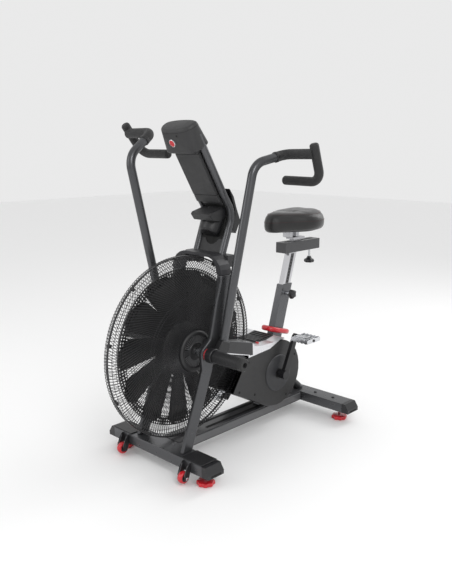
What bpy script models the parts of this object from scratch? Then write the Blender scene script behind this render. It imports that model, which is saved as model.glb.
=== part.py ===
"""Air bike with a caged fan, swinging arms and a belt-driven crank.

Metres, +X forward, +Y to the rider's left, +Z up. Everything hangs from one empty on the
floor below the fan axle, so X is measured from the fan axle and Z from the floor.
"""

import math

import bmesh
import bpy
from mathutils import Matrix, Vector

# ---- driving dimensions -------------------------------------------------------------------
GAP = 0.0004  # between two pieces that are bolted or seated together
FIT = 0.0006  # radial clearance of a turning or sliding piece

CAGE_RADIUS = 0.359
CAGE_SHOULDER_Y = 0.032
CAGE_HUB_Y = 0.074
CAGE_HUB_RADIUS = 0.084
CAGE_WIRE = 0.0035
CAGE_BARS = 12
CAGE_FLOOR = 0.0965  # lowest point of the cage above the floor
AXLE_Z = CAGE_FLOOR + CAGE_RADIUS

AXLE_RADIUS = 0.010
ROTOR_RADIUS = 0.312
BLADES = 12

FRONT_STAB_HALF = 0.258
REAR_STAB_HALF = 0.275
STAB_WIDTH = 0.080
STAB_HEIGHT = 0.042
STAB_BOTTOM = 0.048
STAB_WALL = 0.003
CAP_LENGTH = 0.035
FRONT_STAB_X = 0.108
REAR_STAB_X = -0.749
FRONT_FOOT_Y = FRONT_STAB_HALF - 0.020
REAR_FOOT_Y = REAR_STAB_HALF - 0.037
FOOT_RADIUS = 0.035
FOOT_STUD = 0.005
WHEEL_RADIUS = 0.0235
WHEEL_Y = 0.181

BEAM_HALF_WIDTH = 0.045
BEAM_BOTTOM = 0.050
BEAM_TOP = 0.092

FORK_IN = 0.112  # inner and outer faces of the fork plates
FORK_OUT = 0.138
LEG_HALF = 0.028
ARCH_THICK = 0.012
ARCH_FRONT = -0.080
ARCH_BACK = -0.135
ARCH_CLEAR = 0.0025  # above the cage
ARCH_UNDER = AXLE_Z + math.sqrt(CAGE_RADIUS**2 - ARCH_FRONT**2) + ARCH_CLEAR
ARCH_FOOT = ARCH_UNDER - 0.063

SLEEVE_RADIUS = 0.017  # the arm's bearing sleeve on the fan axle
LEVER_IN = 0.0985
LEVER_OUT = 0.1065
LEVER_TIP = (-0.030, 0.0445)  # from the pivot, with the arm in the middle of its swing
ROD_IN = 0.0885
ROD_OUT = 0.0965
ARM_BACK = -0.061  # the tube stands this far behind the pivot
ARM_RADIUS = 0.017
ARM_Y = FORK_OUT + ARM_RADIUS + 0.002
GRIP_WALL = 0.0025
GRIP_RADIUS = ARM_RADIUS + GRIP_WALL
ARM_REST = math.radians(11.25)  # left arm back, right arm forward
PEG_RADIUS = 0.0245
PEG_IN = 0.184
PEG_OUT = 0.333

CRANK_X = -0.464
CRANK_Z = 0.258
CRANK_LENGTH = 0.172
CRANK_ANGLE = math.radians(113.5)  # left crank from +X towards +Z
SHAFT_RADIUS = 0.0085
PULLEY_RADIUS = 0.080
FAN_PULLEY_RADIUS = 0.0165
BELT_IN = 0.0775
BELT_OUT = 0.0865
BELT_THICK = 0.003
THROW = 0.0105  # of the eccentrics that push the connecting rods

SHROUD_Y = 0.104
SHROUD_WALL = 0.003
SHROUD_RADIUS = 0.146
COVER_RADIUS = 0.080

POST_X = 0.050
POST_Y = 0.025
POST_TOP_Z = 0.757
TUBE_WALL = 0.003
TUBE_LENGTH_X = POST_X + 2 * (TUBE_WALL + 0.003)  # seat tube section, round the post
TUBE_WIDTH_Y = POST_Y + 2 * (TUBE_WALL + 0.0015)
TUBE_TOP = (-0.628, 0.616)
TUBE_FOOT_Z = BEAM_TOP
TUBE_LEAN = 0.2947  # metres back per metre up

SLIDER_FRONT = -0.598
SLIDER_REAR = -0.846
SLIDER_HALF = 0.028
SLIDER_HEIGHT = 0.046
SLIDER_WALL = 0.004
SLOT_HALF = 0.008
KNOB_X = -0.806
SADDLE_CENTRE = -0.665
SADDLE_LENGTH = 0.320
SADDLE_WIDTH = 0.262
SADDLE_BOTTOM = 0.852
SADDLE_TOP = 0.942

MAST_Y = 0.071
MAST_RADIUS = 0.0145
MAST_FOOT = (ARCH_BACK - MAST_RADIUS - 0.0035, ARCH_UNDER + 0.004)
MAST_BEND = (-0.211, MAST_FOOT[1] + 0.155)
MAST_KNEE = (-0.165, MAST_FOOT[1] + 0.221)
MAST_END = (-0.028, MAST_FOOT[1] + 0.450)
CUP_BASE = 0.036  # radius of the bottle cup's floor
CUP_FOOT = (-0.150, MAST_FOOT[1] + 0.074)
HEAD_HALF = 0.085

# The rearmost piece is the seat slider and the foremost is the cage
AXLE_X = -(SLIDER_REAR + CAGE_RADIUS) / 2

STEEL = (0.10, 0.10, 0.11)
BLACK = (0.012, 0.012, 0.013)
CHARCOAL = (0.03, 0.03, 0.033)
RED = (0.45, 0.01, 0.02)
SILVER = (0.70, 0.71, 0.73)
LEFT = 1
RIGHT = -1


# ---- helpers ------------------------------------------------------------------------------
def clear_scene():
    for item in list(bpy.data.objects):
        bpy.data.objects.remove(item)


def material(name, colour, metallic, rough):
    made = bpy.data.materials.new(name)
    made.use_nodes = True
    shader = made.node_tree.nodes["Principled BSDF"]
    shader.inputs["Base Color"].default_value = (*colour, 1.0)
    shader.inputs["Metallic"].default_value = metallic
    shader.inputs["Roughness"].default_value = rough
    return made


def add_object(name, points, faces, look, smooth=False):
    """One closed mesh under the root empty, with its faces turned outwards."""
    mesh = bpy.data.meshes.new(name)
    mesh.from_pydata([tuple(p) for p in points], [], faces)
    shape = bmesh.new()
    shape.from_mesh(mesh)
    bmesh.ops.remove_doubles(shape, verts=shape.verts, dist=1e-6)
    bmesh.ops.recalc_face_normals(shape, faces=shape.faces)
    shape.to_mesh(mesh)
    shape.free()
    item = bpy.data.objects.new(name, mesh)
    bpy.context.collection.objects.link(item)
    item.parent = ROOT
    if look is not None:
        mesh.materials.append(material(name + "_look", *look))
    if smooth:
        mesh.shade_smooth()
        mesh.set_sharp_from_angle(angle=math.radians(35))
    return item


def combine(target, other, operation):
    """Adds or takes away another shape, which is then only a helper."""
    other.hide_render = True
    other.display_type = "WIRE"
    step = target.modifiers.new(other.name, "BOOLEAN")
    step.operation = operation
    step.solver = "EXACT"
    step.object = other
    return target


def cut(target, other):
    return combine(target, other, "DIFFERENCE")


def join(target, other):
    return combine(target, other, "UNION")


def set_origin(item, x, y, z):
    """Moves the object's origin onto its joint axis without moving its shape."""
    item.data.transform(Matrix.Translation((-x, -y, -z)))
    item.location = (x, y, z)
    return item


def on_axis(axis, u, v, along):
    """A point from its two cross coordinates and its distance along an axis."""
    if axis == "X":
        return (along, u, v)
    if axis == "Y":
        return (u, along, v)
    return (u, v, along)


def loft(name, rings, look, smooth=False):
    """A closed skin over rings of equally many points, with flat ends."""
    count = len(rings[0])
    points = [p for ring in rings for p in ring]
    faces = []
    for row in range(len(rings) - 1):
        for i in range(count):
            a = row * count + i
            b = row * count + (i + 1) % count
            faces.append((a, b, b + count, a + count))
    faces.append(tuple(range(count))[::-1])
    faces.append(tuple(range((len(rings) - 1) * count, len(rings) * count)))
    return add_object(name, points, faces, look, smooth)


def prism(name, outline, start, end, axis, look):
    rings = [[on_axis(axis, u, v, along) for u, v in outline] for along in (start, end)]
    return loft(name, rings, look)


def box(name, x, y, z, look=None):
    outline = [(x[0], z[0]), (x[1], z[0]), (x[1], z[1]), (x[0], z[1])]
    return prism(name, outline, y[0], y[1], "Y", look)


def circle(radius, count, centre=(0.0, 0.0), phase=0.0):
    step = 2 * math.pi / count
    return [
        (centre[0] + radius * math.cos(i * step + phase), centre[1] + radius * math.sin(i * step + phase))
        for i in range(count)
    ]


def cylinder(name, centre, radius, start, end, axis="Y", look=None, count=24):
    item = prism(name, circle(radius, count, centre), start, end, axis, look)
    if look is not None:
        item.data.shade_smooth()
        item.data.set_sharp_from_angle(angle=math.radians(35))
    return item


def lathe(name, profile, centre, look, count=20, axis="Y"):
    """Turns a closed (radius, along) outline about an axis through the centre."""
    points = []
    faces = []
    for i in range(count):
        turn = 2 * math.pi * i / count
        for radius, along in profile:
            u = centre[0] + radius * math.cos(turn)
            v = centre[1] + radius * math.sin(turn)
            points.append(on_axis(axis, u, v, along))
    size = len(profile)
    for i in range(count):
        for j in range(size):
            a = i * size + j
            b = i * size + (j + 1) % size
            c = ((i + 1) % count) * size + (j + 1) % size
            d = ((i + 1) % count) * size + j
            faces.append((a, b, c, d))
    return add_object(name, points, faces, look, smooth=True)


def lathe_solid(name, profile, centre, look, count=24, axis="Y"):
    """Turns an open (radius, along) profile whose ends are closed by flat faces."""
    rings = [
        [on_axis(axis, u, v, along) for u, v in circle(radius, count, centre)]
        for radius, along in profile
    ]
    return loft(name, rings, look, smooth=True)


def rounded_path(corners, radius, steps=5):
    """Straight runs joined by arcs of one radius."""
    path = [Vector(corners[0])]
    for before, corner, after in zip(corners, corners[1:], corners[2:]):
        corner = Vector(corner)
        back = (Vector(before) - corner).normalized()
        ahead = (Vector(after) - corner).normalized()
        half = back.angle(ahead) / 2
        first = 0.95 if before is corners[0] else 0.49
        last = 0.95 if after is corners[-1] else 0.49
        run = min(
            radius / math.tan(half),
            first * (Vector(before) - corner).length,
            last * (Vector(after) - corner).length,
        )
        middle = corner + (back + ahead).normalized() * (run / math.cos(half))
        start = corner + back * run - middle
        end = corner + ahead * run - middle
        for i in range(steps + 1):
            spoke = start.lerp(end, i / steps).normalized() * start.length
            path.append(middle + spoke)
    path.append(Vector(corners[-1]))
    return path


def path_rings(path, section):
    """Copies of a section of (side, up) offsets square to each point of a path."""
    rings = []
    side = None
    for i, here in enumerate(path):
        before = path[max(i - 1, 0)]
        after = path[min(i + 1, len(path) - 1)]
        into = (here - before).normalized() if i else (after - here).normalized()
        out = (after - here).normalized() if i < len(path) - 1 else into
        along = (into + out).normalized()
        if side is None:
            guess = Vector((0, 1, 0)) if abs(along.y) < 0.9 else Vector((1, 0, 0))
            side = guess
        side = (side - along * side.dot(along)).normalized()
        up = along.cross(side)
        stretch = 1 / max(along.dot(into), 0.5)
        fold = (out - into)
        rings.append([offset_point(here, side, up, fold, stretch, s, u) for s, u in section])
    return rings


def offset_point(here, side, up, fold, stretch, s, u):
    """A section point, stretched across a sharp corner so the tube keeps its width."""
    offset = side * s + up * u
    if fold.length > 1e-6:
        lean = fold.normalized()
        offset += lean * offset.dot(lean) * (stretch - 1)
    return here + offset


def pipe(name, path, radius, look, count=12):
    return loft(name, path_rings(path, circle(radius, count)), look, smooth=True)


def hollow_pipe(name, path, radius, wall, look, count=12):
    """A tube open at both ends."""
    outer = path_rings(path, circle(radius, count))
    inner = path_rings(path, circle(radius - wall, count))
    rings = outer + inner[::-1]
    points = [p for ring in rings for p in ring]
    faces = []
    for row in range(len(rings)):
        for i in range(count):
            a = row * count + i
            b = row * count + (i + 1) % count
            c = ((row + 1) % len(rings)) * count + (i + 1) % count
            d = ((row + 1) % len(rings)) * count + i
            faces.append((a, b, c, d))
    return add_object(name, points, faces, look, smooth=True)


def side_name(name, side):
    return name + ("_left" if side == LEFT else "_right")


def swung(x, z, side):
    """A point of an arm, turned from the middle of its swing to where it rests."""
    turn = -side * ARM_REST
    lift = z - AXLE_Z
    return (
        x * math.cos(turn) + lift * math.sin(turn),
        AXLE_Z - x * math.sin(turn) + lift * math.cos(turn),
    )


# ---- stabilizers, feet and wheels ---------------------------------------------------------
def stabilizer(name, centre, reach, look, foot_y):
    """A box tube across the bike with a hole near each end for a foot's stud."""
    half = STAB_WIDTH / 2
    top = STAB_BOTTOM + STAB_HEIGHT
    body = box(name, (centre - half, centre + half), (-reach, reach), (STAB_BOTTOM, top), look)
    inside = box(
        name + "_bore",
        (centre - half + STAB_WALL, centre + half - STAB_WALL),
        (-reach - 0.01, reach + 0.01),
        (STAB_BOTTOM + STAB_WALL, top - STAB_WALL),
    )
    cut(body, inside)
    for side in (LEFT, RIGHT):
        hole = cylinder(
            side_name(name + "_stud_hole", side),
            (centre, side * foot_y),
            FOOT_STUD + FIT,
            STAB_BOTTOM - 0.01,
            STAB_BOTTOM + STAB_WALL + 0.005,
            "Z",
            count=12,
        )
        cut(body, hole)
    return body


def wheel_bracket(body, side):
    """Two ears on the front stabilizer with the pin of a transport wheel."""
    front = FRONT_STAB_X + STAB_WIDTH / 2
    middle = side * WHEEL_Y
    outline = [
        (front - 0.0015, STAB_BOTTOM + 0.008),
        (front - 0.0015, STAB_BOTTOM + 0.034),
        (front + 0.012, STAB_BOTTOM + 0.030),
        (front + 0.030, STAB_BOTTOM - 0.008),
        (front + 0.026, STAB_BOTTOM - 0.027),
        (front + 0.014, STAB_BOTTOM - 0.027),
    ]
    for end in (-1, 1):
        name = side_name("ear_a" if end < 0 else "ear_b", side)
        at = middle + end * 0.0155
        join(body, prism(name, outline, at - 0.002, at + 0.002, "Y", None))
    pin = cylinder(
        side_name("wheel_pin", side),
        (front + 0.020, STAB_BOTTOM - 0.018),
        0.004,
        middle - 0.0165,
        middle + 0.0165,
        count=12,
    )
    join(body, pin)


def transport_wheel(side):
    front = FRONT_STAB_X + STAB_WIDTH / 2
    centre = (front + 0.020, STAB_BOTTOM - 0.018)
    middle = side * WHEEL_Y
    profile = [
        (0.0046, middle - 0.011),
        (WHEEL_RADIUS - 0.003, middle - 0.011),
        (WHEEL_RADIUS, middle - 0.007),
        (WHEEL_RADIUS, middle + 0.007),
        (WHEEL_RADIUS - 0.003, middle + 0.011),
        (0.0046, middle + 0.011),
    ]
    wheel = lathe(side_name("transport_wheel", side), profile, centre, (RED, 0.0, 0.4))
    set_origin(wheel, centre[0], middle, centre[1])


def end_cap(name, centre, reach, side):
    half = STAB_WIDTH / 2
    top = STAB_BOTTOM + STAB_HEIGHT
    near = side * (reach + GAP)
    far = side * (reach + CAP_LENGTH)
    slope = side * (reach + CAP_LENGTH * 0.5)
    outline = [(near, STAB_BOTTOM), (far, STAB_BOTTOM), (far, top - 0.026), (slope, top), (near, top)]
    cap = prism(name, outline, centre - half, centre + half, "X", (BLACK, 0.0, 0.5))
    inset = STAB_WALL + 0.0008
    ends = sorted((side * (reach - 0.012), side * (reach + 0.005)))
    plug = box(
        name + "_plug",
        (centre - half + inset, centre + half - inset),
        ends,
        (STAB_BOTTOM + inset, top - inset),
    )
    return join(cap, plug)


def levelling_foot(name, centre, foot_y, side):
    """A lobed hand wheel on a threaded stud."""
    lobes = []
    for i in range(24):
        turn = 2 * math.pi * i / 24
        radius = FOOT_RADIUS - 0.0022 + 0.0022 * math.cos(6 * turn)
        lobes.append((radius * math.cos(turn), radius * math.sin(turn)))
    y = side * foot_y
    rings = []
    for scale, z in ((0.90, 0.0), (1.0, 0.003), (1.0, 0.014), (0.80, 0.018)):
        rings.append([(centre + u * scale, y + v * scale, z) for u, v in lobes])
    foot = loft(name, rings, (RED, 0.0, 0.45))
    stud = cylinder(name + "_stud", (centre, y), FOOT_STUD, 0.010, STAB_BOTTOM + 0.014, "Z", count=12)
    join(foot, stud)
    set_origin(foot, centre, y, 0.0)


def ground_frame():
    steel = (STEEL, 0.6, 0.35)
    front = stabilizer("front_stabilizer", FRONT_STAB_X, FRONT_STAB_HALF, steel, FRONT_FOOT_Y)
    for side in (LEFT, RIGHT):
        wheel_bracket(front, side)
        transport_wheel(side)
        end_cap(side_name("front_end_cap", side), FRONT_STAB_X, FRONT_STAB_HALF, side)
        end_cap(side_name("rear_end_cap", side), REAR_STAB_X, REAR_STAB_HALF, side)
        levelling_foot(side_name("front_foot", side), FRONT_STAB_X, FRONT_FOOT_Y, side)
        levelling_foot(side_name("rear_foot", side), REAR_STAB_X, REAR_FOOT_Y, side)
    rear = stabilizer("rear_stabilizer", REAR_STAB_X, REAR_STAB_HALF, steel, REAR_FOOT_Y)
    foot = Vector((REAR_STAB_X - 0.004, 0, STAB_BOTTOM + STAB_HEIGHT - 0.002))
    head = Vector((tube_x(0.245) - 0.036, 0, 0.245))
    strut = pipe("rear_strut", [foot, head], 0.019, None, 16)
    join(rear, strut)
    beside = (TUBE_LENGTH_X + 2 * GAP, TUBE_WIDTH_Y + 2 * GAP)
    cut(rear, leaning_block("strut_saddle", 0.10, 0.35, *beside, None))
    base_beam()


def base_beam():
    """The flat box tube between the two stabilizers."""
    front = FRONT_STAB_X - STAB_WIDTH / 2 - GAP
    back = REAR_STAB_X + STAB_WIDTH / 2 + GAP
    half = BEAM_HALF_WIDTH
    body = box("base_beam", (back, front), (-half, half), (BEAM_BOTTOM, BEAM_TOP), (STEEL, 0.6, 0.35))
    wall = STAB_WALL
    inside = box(
        "base_beam_bore",
        (back - 0.01, front + 0.01),
        (-half + wall, half - wall),
        (BEAM_BOTTOM + wall, BEAM_TOP - wall),
    )
    cut(body, inside)
    return body


# ---- fork, arch and mast ------------------------------------------------------------------
def fork(side):
    """One side plate: the leg from the front stabilizer and the upright behind the pivot."""
    top = STAB_BOTTOM + STAB_HEIGHT + GAP
    outline = [
        (0.134, top),
        (0.0245, AXLE_Z - 0.055),
        (0.030, AXLE_Z - 0.020),
        (0.032, AXLE_Z),
        (0.026, AXLE_Z + 0.020),
        (0.004, AXLE_Z + 0.034),
        (-0.020, AXLE_Z + 0.052),
        (-0.056, ARCH_FOOT - 0.092),
        (-0.078, ARCH_FOOT - 0.025),
        (ARCH_FRONT, ARCH_FOOT),
        (ARCH_BACK, ARCH_FOOT),
        (-0.124, ARCH_FOOT - 0.102),
        (-0.085, AXLE_Z + 0.0335),
        (-0.040, AXLE_Z - 0.026),
        (-0.0360, AXLE_Z - 0.072),
        (0.072, top),
    ]
    ends = (side * FORK_IN, side * FORK_OUT)
    name = side_name("fork", side)
    plate = prism(name, outline, ends[0], ends[1], "Y", (STEEL, 0.6, 0.35))
    bore = cylinder(
        name + "_bore",
        (0, AXLE_Z),
        SLEEVE_RADIUS + FIT,
        side * (FORK_IN - 0.01),
        side * (FORK_OUT + 0.01),
    )
    return cut(plate, bore)


def top_arch():
    """The inverted U that joins the uprights over the cage."""
    middle = (FORK_IN + FORK_OUT) / 2
    top = ARCH_UNDER + ARCH_THICK / 2
    foot = ARCH_FOOT + GAP
    corners = [(0, middle, foot), (0, middle, top), (0, -middle, top), (0, -middle, foot)]
    path = rounded_path(corners, 0.066, 6)
    rings = []
    for i, here in enumerate(path):
        before = path[max(i - 1, 0)]
        after = path[min(i + 1, len(path) - 1)]
        along = (after - before).normalized()
        rise = max(0.0, (top - here.z) / (top - foot))
        thick = ARCH_THICK / 2 + rise * (FORK_OUT - FORK_IN - ARCH_THICK) / 2
        out = Vector((0, along.z, -along.y)) * thick
        near = (here + out).yz
        far = (here - out).yz
        rings.append([(ARCH_FRONT, *near), (ARCH_BACK, *near), (ARCH_BACK, *far), (ARCH_FRONT, *far)])
    return loft("top_arch", rings, (STEEL, 0.6, 0.35))


def mast_path(side):
    y = side * MAST_Y
    corners = [
        (MAST_FOOT[0] + 0.0150, y, MAST_FOOT[1] - 0.0405),
        (MAST_BEND[0], y, MAST_BEND[1]),
        (MAST_KNEE[0], y, MAST_KNEE[1]),
        (MAST_END[0], y, MAST_END[1]),
    ]
    return rounded_path(corners, 0.090, 4)


def crown():
    """The bracket behind the arch that carries the mast."""
    back = ARCH_BACK - GAP
    reach = (back - 0.040, back)
    top = MAST_FOOT[1]
    outer = FORK_IN + 0.006
    body = box("crown", reach, (-outer, outer), (top - 0.016, top), (STEEL, 0.6, 0.35))
    inner = MAST_Y - MAST_RADIUS - 0.004
    for side in (LEFT, RIGHT):
        ends = sorted((side * inner, side * outer))
        join(body, box(side_name("crown_cheek", side), reach, ends, (top - 0.045, top - 0.001)))
        path = mast_path(side)
        run = (path[1] - path[0]).normalized() * 0.03
        ends = [path[0] - run, path[1] + run]
        hole = pipe(side_name("mast_hole", side), ends, MAST_RADIUS + GAP, None, 14)
        cut(body, hole)
    return body


def mast_web():
    """The dark plate between the mast tubes, cut out to a U."""
    inner = MAST_Y - MAST_RADIUS - 0.001
    gap = CUP_BASE + 0.0035
    outline = [(-inner, 0.0), (inner, 0.0), (inner, 0.105), (gap + 0.004, 0.105)]
    for i in range(9):
        turn = math.pi * i / 8
        outline.append((gap * math.cos(turn), 0.070 - 0.040 * math.sin(turn)))
    outline += [(-gap - 0.004, 0.105), (-inner, 0.105)]
    lean = Vector((MAST_BEND[0] - MAST_FOOT[0], 0, MAST_BEND[1] - MAST_FOOT[1])).normalized()
    face = Vector((lean.z, 0, -lean.x))
    foot = Vector((MAST_FOOT[0], 0, MAST_FOOT[1] + 0.002))
    rings = []
    for depth in (-0.003, 0.003):
        rings.append([foot + face * depth + Vector((0, u, 0)) + lean * v for u, v in outline])
    return loft("mast_web", rings, (BLACK, 0.2, 0.45))


def caddy():
    """The bottle cup and the small tray, moulded as one piece between the mast tubes."""
    bottom = Vector((CUP_FOOT[0], 0, CUP_FOOT[1]))
    axis = Vector((-0.55, 0, 0.835)).normalized()
    cup = turned_solid("caddy", bottom, axis, [(CUP_BASE, 0.0), (0.044, 0.010), (0.046, 0.098)], 20)
    cup.data.materials.append(material("caddy_look", CHARCOAL, 0.0, 0.5))
    wedge = [(-0.186, 0.180), (-0.112, 0.160), (-0.120, 0.130), (-0.170, 0.123), (-0.200, 0.148)]
    wedge = [(x, MAST_FOOT[1] + rise) for x, rise in wedge]
    join(cup, prism("caddy_tray", wedge, -0.052, 0.052, "Y", None))
    hollow = turned_solid("caddy_bore", bottom + axis * 0.006, axis, [(0.038, 0.0), (0.040, 0.12)], 20)
    return cut(cup, hollow)


def turned_solid(name, start, axis, profile, count=20):
    """A turned piece about any axis through its start point."""
    across = Vector((0, 1, 0))
    up = axis.cross(across)
    rings = []
    for radius, along in profile:
        centre = start + axis * along
        rings.append([centre + across * u + up * v for u, v in circle(radius, count)])
    return loft(name, rings, None, smooth=True)


def mast():
    crown()
    mast_web()
    for side in (LEFT, RIGHT):
        pipe(side_name("mast_tube", side), mast_path(side), MAST_RADIUS, (STEEL, 0.6, 0.35), 14)
    caddy()


# ---- console ------------------------------------------------------------------------------
SLOPE_FOOT = Vector((MAST_KNEE[0], 0, MAST_KNEE[1]))
SLOPE = Vector((0.5133, 0, 0.8582))
FACE = Vector((-0.8582, 0, 0.5133))  # towards the rider
HEAD_LOW = 0.215
HEAD_HIGH = 0.314
SCREEN_DEPTH = 0.004
BUTTON_RADIUS = 0.0075


def on_console(y, along, out):
    return SLOPE_FOOT + SLOPE * along + FACE * out + Vector((0, y, 0))


def console_ring(half, front, back, along):
    """A rounded rectangle across the console, flatter on the rider's side."""
    ring = []
    for i in range(24):
        turn = 2 * math.pi * i / 24
        c = math.cos(turn)
        s = math.sin(turn)
        y = half * math.copysign(abs(c) ** 0.6, c)
        depth = back if s > 0 else front
        ring.append(on_console(y, along, depth * abs(s) ** 0.7 * (1 if s > 0 else -1)))
    return ring


def console():
    rings = [
        console_ring(HEAD_HALF - 0.004, 0.050, 0.026, HEAD_LOW),
        console_ring(HEAD_HALF, 0.056, 0.030, HEAD_LOW + 0.008),
        console_ring(HEAD_HALF, 0.058, 0.030, HEAD_HIGH - 0.016),
        console_ring(HEAD_HALF - 0.008, 0.050, 0.024, HEAD_HIGH),
    ]
    body = loft("console_housing", rings, (CHARCOAL, 0.0, 0.5), smooth=True)
    inner = MAST_Y - MAST_RADIUS - 0.001
    panel = []
    for along in (-0.034, HEAD_LOW + 0.02):
        corners = ((-inner, -0.012), (inner, -0.012), (inner, 0.016), (-inner, 0.016))
        panel.append([on_console(y, along, out) for y, out in corners])
    join(body, loft("console_panel", panel, None))
    for side in (LEFT, RIGHT):
        end = on_console(side * MAST_Y, HEAD_LOW + 0.0375, 0.0)
        ends = [end - SLOPE * 0.2, end + SLOPE * 0.025]
        socket = pipe(side_name("mast_socket", side), ends, MAST_RADIUS + FIT, None, 14)
        cut(body, socket)
    screen_block("screen_seat", body, 0.0)
    screen = screen_block("display", None, GAP)
    screen.data.materials.append(material("display_look", (0.01, 0.02, 0.02), 0.0, 0.1))
    for number, y in enumerate((-0.030, 0.0, 0.030)):
        console_button(body, number + 1, y)


def screen_block(name, body, shrink):
    """The display, or the pocket that it sits in."""
    rings = []
    low = HEAD_LOW + 0.022 + shrink
    high = HEAD_HIGH - 0.022 - shrink
    half = 0.058 - shrink
    deep = 0.0255 + shrink
    top = 0.034 if body else 0.0285
    for out in (deep, top):
        corners = ((-half, low), (half, low), (half, high), (-half, high))
        rings.append([on_console(y, along, out) for y, along in corners])
    block = loft(name, rings, None)
    if body:
        cut(body, block)
    return block


def console_button(body, number, y):
    """A short round button in a blind hole of the panel."""
    centre = on_console(y, 0.180, 0.0)
    hole = turned_solid(
        f"button_hole_{number}",
        centre + FACE * 0.008,
        FACE,
        [(BUTTON_RADIUS + FIT, 0.0), (BUTTON_RADIUS + FIT, 0.02)],
        16,
    )
    cut(body, hole)
    profile = [(BUTTON_RADIUS, 0.0), (BUTTON_RADIUS, 0.0065), (BUTTON_RADIUS - 0.001, 0.0075)]
    button = turned_solid(f"console_button_{number}", centre + FACE * 0.011, FACE, profile, 16)
    colour = RED if number == 2 else STEEL
    button.data.materials.append(material(f"button_{number}_look", colour, 0.0, 0.4))
    origin = centre + FACE * 0.011
    set_origin(button, *origin)


# ---- seat tube and seat -------------------------------------------------------------------
def tube_x(z):
    """The centre of the seat tube at a height."""
    return TUBE_TOP[0] + TUBE_LEAN * (TUBE_TOP[1] - z)


LEAN = Vector((-TUBE_LEAN, 0, 1)).normalized()
LEAN_FRONT = Vector((LEAN.z, 0, -LEAN.x))


def leaning_block(name, low, high, length_x, width_y, look, level=False):
    """A block along the seat tube, cut square or, for a level one, flat at both ends."""
    rings = []
    for z in (low, high):
        centre = Vector((tube_x(z), 0, z))
        front = Vector((length_x / 2 / LEAN.z, 0, 0)) if level else LEAN_FRONT * (length_x / 2)
        corners = ((-1, -1), (1, -1), (1, 1), (-1, 1))
        rings.append([centre + front * a + Vector((0, b * width_y / 2, 0)) for a, b in corners])
    return loft(name, rings, look)


def seat_tube():
    look = (STEEL, 0.6, 0.35)
    foot = TUBE_FOOT_Z + GAP
    body = leaning_block("seat_tube", foot, TUBE_TOP[1], TUBE_LENGTH_X, TUBE_WIDTH_Y, look, level=True)
    join(body, cylinder("crank_shell", (CRANK_X, CRANK_Z), 0.023, -0.034, 0.034))
    lug = box("crank_lug", (tube_x(CRANK_Z), CRANK_X), (-0.016, 0.016), (CRANK_Z - 0.018, CRANK_Z + 0.018))
    join(body, lug)
    inner = (TUBE_LENGTH_X - 2 * TUBE_WALL, TUBE_WIDTH_Y - 2 * TUBE_WALL)
    cut(body, leaning_block("seat_tube_bore", foot - 0.02, TUBE_TOP[1] + 0.02, *inner, None))
    cut(body, cylinder("crank_bore", (CRANK_X, CRANK_Z), SHAFT_RADIUS + FIT, -0.05, 0.05))
    hole_z = TUBE_TOP[1] - 0.040
    hole = cylinder("pin_hole", (tube_x(hole_z), hole_z), 0.0045 + FIT, 0.005, 0.03, count=12)
    cut(body, hole)
    pop_pin(hole_z)


def pop_pin(z):
    """The lobed pull knob whose pin drops into a hole of the seat post."""
    centre = (tube_x(z), z)
    outside = TUBE_WIDTH_Y / 2 + GAP
    profile = [
        (0.0045, POST_Y / 2 + FIT),
        (0.0045, outside),
        (0.009, outside + 0.0001),
        (0.009, outside + 0.026),
        (0.020, outside + 0.028),
        (0.022, outside + 0.040),
        (0.018, outside + 0.048),
    ]
    pin = lathe_solid("pop_pin", profile, centre, (BLACK, 0.0, 0.5), 20)
    set_origin(pin, centre[0], outside, centre[1])


def seat_post():
    look = (SILVER, 1.0, 0.12)
    post = leaning_block("seat_post", 0.400, POST_TOP_Z - GAP, POST_X, POST_Y, look, level=True)
    for number in range(6):
        z = TUBE_TOP[1] - 0.040 + 0.025 * (number - 1)
        hole = cylinder(f"post_hole_{number}", (tube_x(z), z), 0.0055, 0.004, 0.02, count=10)
        cut(post, hole)
    set_origin(post, tube_x(TUBE_TOP[1]), 0, TUBE_TOP[1])


def slider_rail():
    """The slotted box on top of the seat post that the carriage slides in."""
    low = POST_TOP_Z
    high = POST_TOP_Z + SLIDER_HEIGHT
    half = SLIDER_HALF
    wall = SLIDER_WALL
    body = box("slider_rail", (SLIDER_REAR, SLIDER_FRONT), (-half, half), (low, high), (STEEL, 0.6, 0.35))
    inside = box(
        "slider_bore",
        (SLIDER_REAR + wall * 2, SLIDER_FRONT - wall * 2),
        (-half + wall, half - wall),
        (low + wall, high - wall),
    )
    cut(body, inside)
    ends = (SLIDER_REAR + 0.016, SLIDER_FRONT - 0.022)
    cut(body, box("slider_top_slot", ends, (-SLOT_HALF, SLOT_HALF), (high - 0.01, high + 0.01)))
    under = (SLIDER_REAR + 0.013, SLIDER_REAR + 0.11)
    cut(body, box("slider_low_slot", under, (-0.0065, 0.0065), (low - 0.01, low + 0.01)))
    set_origin(body, tube_x(TUBE_TOP[1]), 0, TUBE_TOP[1])


def carriage():
    """The block that runs inside the slider rail and holds the saddle."""
    wall = SLIDER_WALL + 0.0015
    low = POST_TOP_Z + wall
    high = POST_TOP_Z + SLIDER_HEIGHT - wall
    half = SLIDER_HALF - wall
    look = (SILVER, 1.0, 0.3)
    body = box("seat_carriage", (-0.822, -0.650), (-half, half), (low, high), look)
    neck = box("carriage_neck", (-0.735, -0.665), (-0.0065, 0.0065), (high - 0.005, 0.820))
    join(body, neck)
    join(body, box("carriage_plate", (-0.740, -0.660), (-0.022, 0.022), (0.812, 0.822)))
    join(body, cylinder("carriage_post", (-0.700, 0), 0.016, 0.816, SADDLE_BOTTOM - GAP, "Z", count=20))
    hole = cylinder("knob_hole", (KNOB_X, 0), 0.0050 + FIT, low - 0.01, low + 0.018, "Z", count=12)
    cut(body, hole)
    set_origin(body, -0.700, 0, POST_TOP_Z + SLIDER_HEIGHT)


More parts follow.
